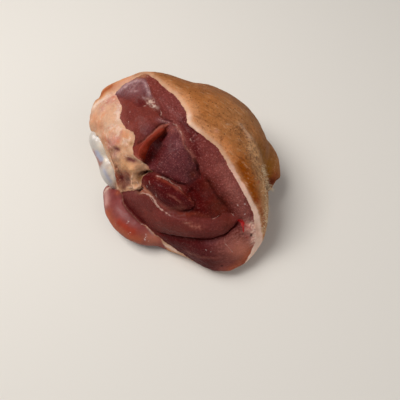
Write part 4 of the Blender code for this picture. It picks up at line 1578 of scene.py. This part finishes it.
# %% Silverskin's material
WISP_DARK = tone(150, 96, 82)
WISP_PALE = tone(204, 166, 150)
material = new_material("silverskin")
wisps = clouds(object_place(), 500, 3, 0.6)
finish_material({
    "Base Color": mix(rise(wisps, 0.35, 0.65), WISP_DARK, WISP_PALE),
    "Roughness": 0.34 + wisps * 0.2,
    "Coat Weight": 0.3,
    "Coat Roughness": 0.15,
    "Subsurface Weight": 0.3,
    "Subsurface Radius": (1.0, 0.5, 0.4),
    "Subsurface Scale": 0.001,
})
dress(threads, material)
print("silverskin:", len(Shade.tree.nodes), "nodes")

# %% [markdown]
# ## Bristles and stubble
#
# The butcher has shaved the rind, but not well: pale bristles still stand along its right edge, with a tuft at
# the shank, and dark stubs are left beside them. Each is a tiny tapered tube. They are sown with a fixed seed,
# so every run grows the same beard.

# %% Hair on the rind
HAIR_STEPS = 5
HAIR_SIDES = 3
BRISTLE_RADIUS = 0.17
STUBBLE_RADIUS = 0.24
SAG = 0.3
RIDGE_LINE = [(72, 3), (74, -5), (75.3, -13), (75.8, -25), (75.8, -36), (75, -45), (74.5, -53)]
BRISTLES = 280
TUFT_PLACE = (77.5, -14)
TUFT = 22
STUBBLE = 520
STUBBLE_LINE = [(48, 38), (57, 26), (63, 14), (67, 2), (69, -8)]


def hair(bm, u, v, way, length, radius, sag):
    """One hair that starts in the skin and bends down towards its tip."""
    root, normal = skin.top(u, v)
    if root is None:
        return
    way = (normal + facing_way(*way)).normalized()
    path = []
    radii = []
    for step in range(HAIR_STEPS + 1):
        share = step / HAIR_STEPS
        bend = Vector((0, 0, -sag * share * share * length))
        path.append(root + (way * length * (share - 0.08) + bend) * MM)
        radii.append(radius * (1 - 0.75 * share) * MM)
    tube_along(bm, path, radii, HAIR_SIDES, Vector((0.3, 0.2, 0.93)))


def along_line(points, share):
    """The place at that share of a line's points."""
    line = smooth_line(points)
    place = share * (len(line) - 1)
    first = int(min(place, len(line) - 2))
    return line[first] + (line[first + 1] - line[first]) * (place - first)


print("a hair has", HAIR_STEPS, "steps and", HAIR_SIDES, "sides")

# %% [markdown]
# ## Sowing the hair
#
# The bristles follow the ridge of the rind, the tuft stands at the shank, and the stubble is scattered over the
# shoulder. Every hair draws its place, its way and its length in the same order, from one seed.

# %% Bristles, tuft and stubble
random.seed(5)
bristle_bm = bmesh.new()
for _ in range(BRISTLES):
    u, v = along_line(RIDGE_LINE, random.random())
    way = (random.uniform(-0.4, 1.4), random.uniform(-1.6, 1.0), random.uniform(-0.3, 0.5))
    hair(bristle_bm, u + random.gauss(0, 1.5), v + random.gauss(0, 1.5), way, random.uniform(1.2, 4.8),
         BRISTLE_RADIUS, SAG)
for _ in range(TUFT):
    u, v = (place + random.gauss(0, 0.9) for place in TUFT_PLACE)
    way = (random.uniform(0.8, 2.2), random.uniform(-1.3, 0.2), random.uniform(-0.3, 0.4))
    hair(bristle_bm, u, v, way, random.uniform(5.0, 10.0), BRISTLE_RADIUS, SAG)
bristles = new_piece("bristles", bristle_bm)

stubble_bm = bmesh.new()
for _ in range(STUBBLE):
    u, v = along_line(STUBBLE_LINE, random.random())
    way = (random.uniform(-1.5, 1.5), random.uniform(-3.0, -1.0), 0)
    hair(stubble_bm, u + random.gauss(0, 4.4), v + random.gauss(0, 3.4), way, random.uniform(0.5, 1.2),
         STUBBLE_RADIUS, 0.0)
stubble = new_piece("stubble", stubble_bm)

for piece, root_colour, tip_colour in (
    (bristles, tone(188, 154, 112), tone(232, 210, 176)),
    (stubble, tone(70, 34, 16), tone(104, 60, 34)),
):
    material = new_material(piece.name)
    shade = mix(clouds(object_place(), 300, 2), root_colour, tip_colour)
    finish_material({"Base Color": shade, "Roughness": 0.5})
    dress(piece, material)
print("hairs:", BRISTLES + TUFT + STUBBLE)

# %% [markdown]
# ## The bone
#
# At the knee the end of the shin bone shows as smooth white cartilage with bluish facets, and at the far end the
# saw has left a ring of hard bone round the dark marrow. The solid has two separate knuckles. On the real joint
# one sheet of cartilage runs over both, so a saddle is laid across them before the piece is remeshed.

# %% The saddle and the remeshed bone
BONE_VOXEL = 0.9 * MM
BONE_SMOOTHINGS = 8
SADDLE = [
    (-78, 41, -18.5), (-77.6, 33.5, -16), (-74.8, 24.5, -17), (-71.4, 17, -18), (-69.6, 10, -18.5),
    (-66.8, -1.4, -20), (-63.2, -8.5, -23), (-59, -14.5, -27),
]
SADDLE_RADII = (2.0, 6.8, 7.2, 7.0, 6.6, 6.6, 5.2, 2.0)
SADDLE_SIDES = 32
SADDLE_RINGS = 24

saddle = smooth_line([(*place, radius) for place, radius in zip(SADDLE, SADDLE_RADII)])
steps = np.linspace(0, len(saddle) - 1, SADDLE_RINGS)
rows = np.stack([np.interp(steps, np.arange(len(saddle)), saddle[:, axis]) for axis in range(4)], axis=1)
bm = merged_copy("shank_bone")
tube_along(bm, [to_metres(*row[:3]) for row in rows], [row[3] * MM for row in rows], SADDLE_SIDES, OUTWARD)
bone = new_piece("knee_and_shin_bone", bm)
remeshed(bone, BONE_VOXEL)
smoothed(bone, BONE_SMOOTHINGS)
print("bone:", len(bone.data.polygons), "squares")

# %% [markdown]
# ## The sawn end and the joint's paint
#
# At the saw cut the marrow lies a little deeper than the ring of hard bone, and the whole end sinks under the
# rind. The joint's coat has cream ridges, bluish facets and a rusty line at its upper edge. Two cream strokes
# on its lower part are painted light, where that side faces away from the lamp.

# %% Shape the end and paint the joint
SAW_REACH = 12.0
MARROW_RADIUS = 4.6
MARROW_SINK = 1.0
END_SINK = 5.0
BONE_LUMPS = 0.12
HARD_BONE = tone(206, 184, 150)
MARROW = tone(120, 48, 34)
JOINT_WHITE = tone(190, 182, 174)
JOINT_BLUE = tone(164, 166, 186)
JOINT_CREAM = tone(230, 212, 190)
JOINT_PINK = tone(188, 150, 140)
JOINT_RUST = tone(150, 84, 68)
FACET = [(-78.5, 20), (-74, 19.5), (-69.5, 13), (-71.5, 9.5), (-75.5, 13)]

bone_skin = Skin(bone)
from_saw = np.linalg.norm(bone_skin.points - SAW_PLACE, axis=1) / MM
at_saw = area(SAW_REACH - from_saw, 2)
in_marrow = at_saw * area(MARROW_RADIUS - from_saw, 1)
bone_skin.move(bone_skin.normals, BONE_LUMPS * bone_skin.lumps(4, 2, seed=3) * (1 - at_saw) - in_marrow * MARROW_SINK)
droop(bone_skin, BONE_DROOP)
bone_skin.move(SAW_WAY, -END_SINK * at_saw)

joint = Coat(bone_skin, JOINT_WHITE)
joint.brush([
    (JOINT_PINK, 0.35, 4, (-65, 5)),
    # Painted light: the lower part of the cartilage faces away from the lamp, so it is painted paler.
    (JOINT_CREAM, 0.6, 3, (-66.5, 4), (-63.5, -5), (-60.5, -12)),
    (JOINT_CREAM, 0.6, 3, (-73, 28), (-69.5, 19), (-66.5, 9)),
    (JOINT_BLUE, 0.85 * area(bone_skin.reach(FACET), 2.5)),
    (JOINT_BLUE, 0.75, 2.2, (-70, 4), (-66, -4), (-62, -10)),
    (JOINT_CREAM, 0.8, 2.2, (-63, 8), (-61.8, -2), (-59.5, -10), (-57, -15)),
    (JOINT_CREAM, 0.6, 1.6, (-70, 32), (-66.5, 24), (-62.5, 16)),
    (JOINT_RUST, 0.85, 1.4, (-80, 21.5), (-77.5, 16), (-74.5, 10), (-72.5, 5)),
    (JOINT_RUST, 0.7, 1.8, (-71.5, 9)),
    (HARD_BONE, at_saw),
    (MARROW, in_marrow),
])
bone_skin.store("coat", joint.colours, colour=True)

# %% [markdown]
# ## What bone and cartilage look like
#
# Wet cartilage shines through a thin clear coat. Soft clouds and pink strands keep it from being plain.

# %% The bone's material
material = new_material("bone and cartilage")
place = object_place()
cloud = clouds(place, 110, 3, 0.6)
strands = rise(clouds(stretched(place, (1, 1, 3), (0.5, 0.2, 0.4)), 260, 3, 0.6), 0.55, 0.75)
grit = clouds(place, 800, 3)
cover = scaled(painted("coat"), 0.84 + cloud * 0.22 + grit * 0.1)
cover = mix(strands * 0.3, cover, JOINT_PINK)
finish_material({
    "Base Color": cover,
    "Roughness": 0.3 + grit * 0.15,
    "Normal": bump(grit + cloud * 1.5 + strands * 0.5, 0.3, 0.0004),
    "Coat Weight": 0.3,
    "Coat Roughness": 0.12,
    "Subsurface Weight": 0.15,
    "Subsurface Radius": (1.0, 0.7, 0.5),
    "Subsurface Scale": 0.002,
})
dress(bone, material, "shank_bone")
print("bone:", len(Shade.tree.nodes), "nodes")
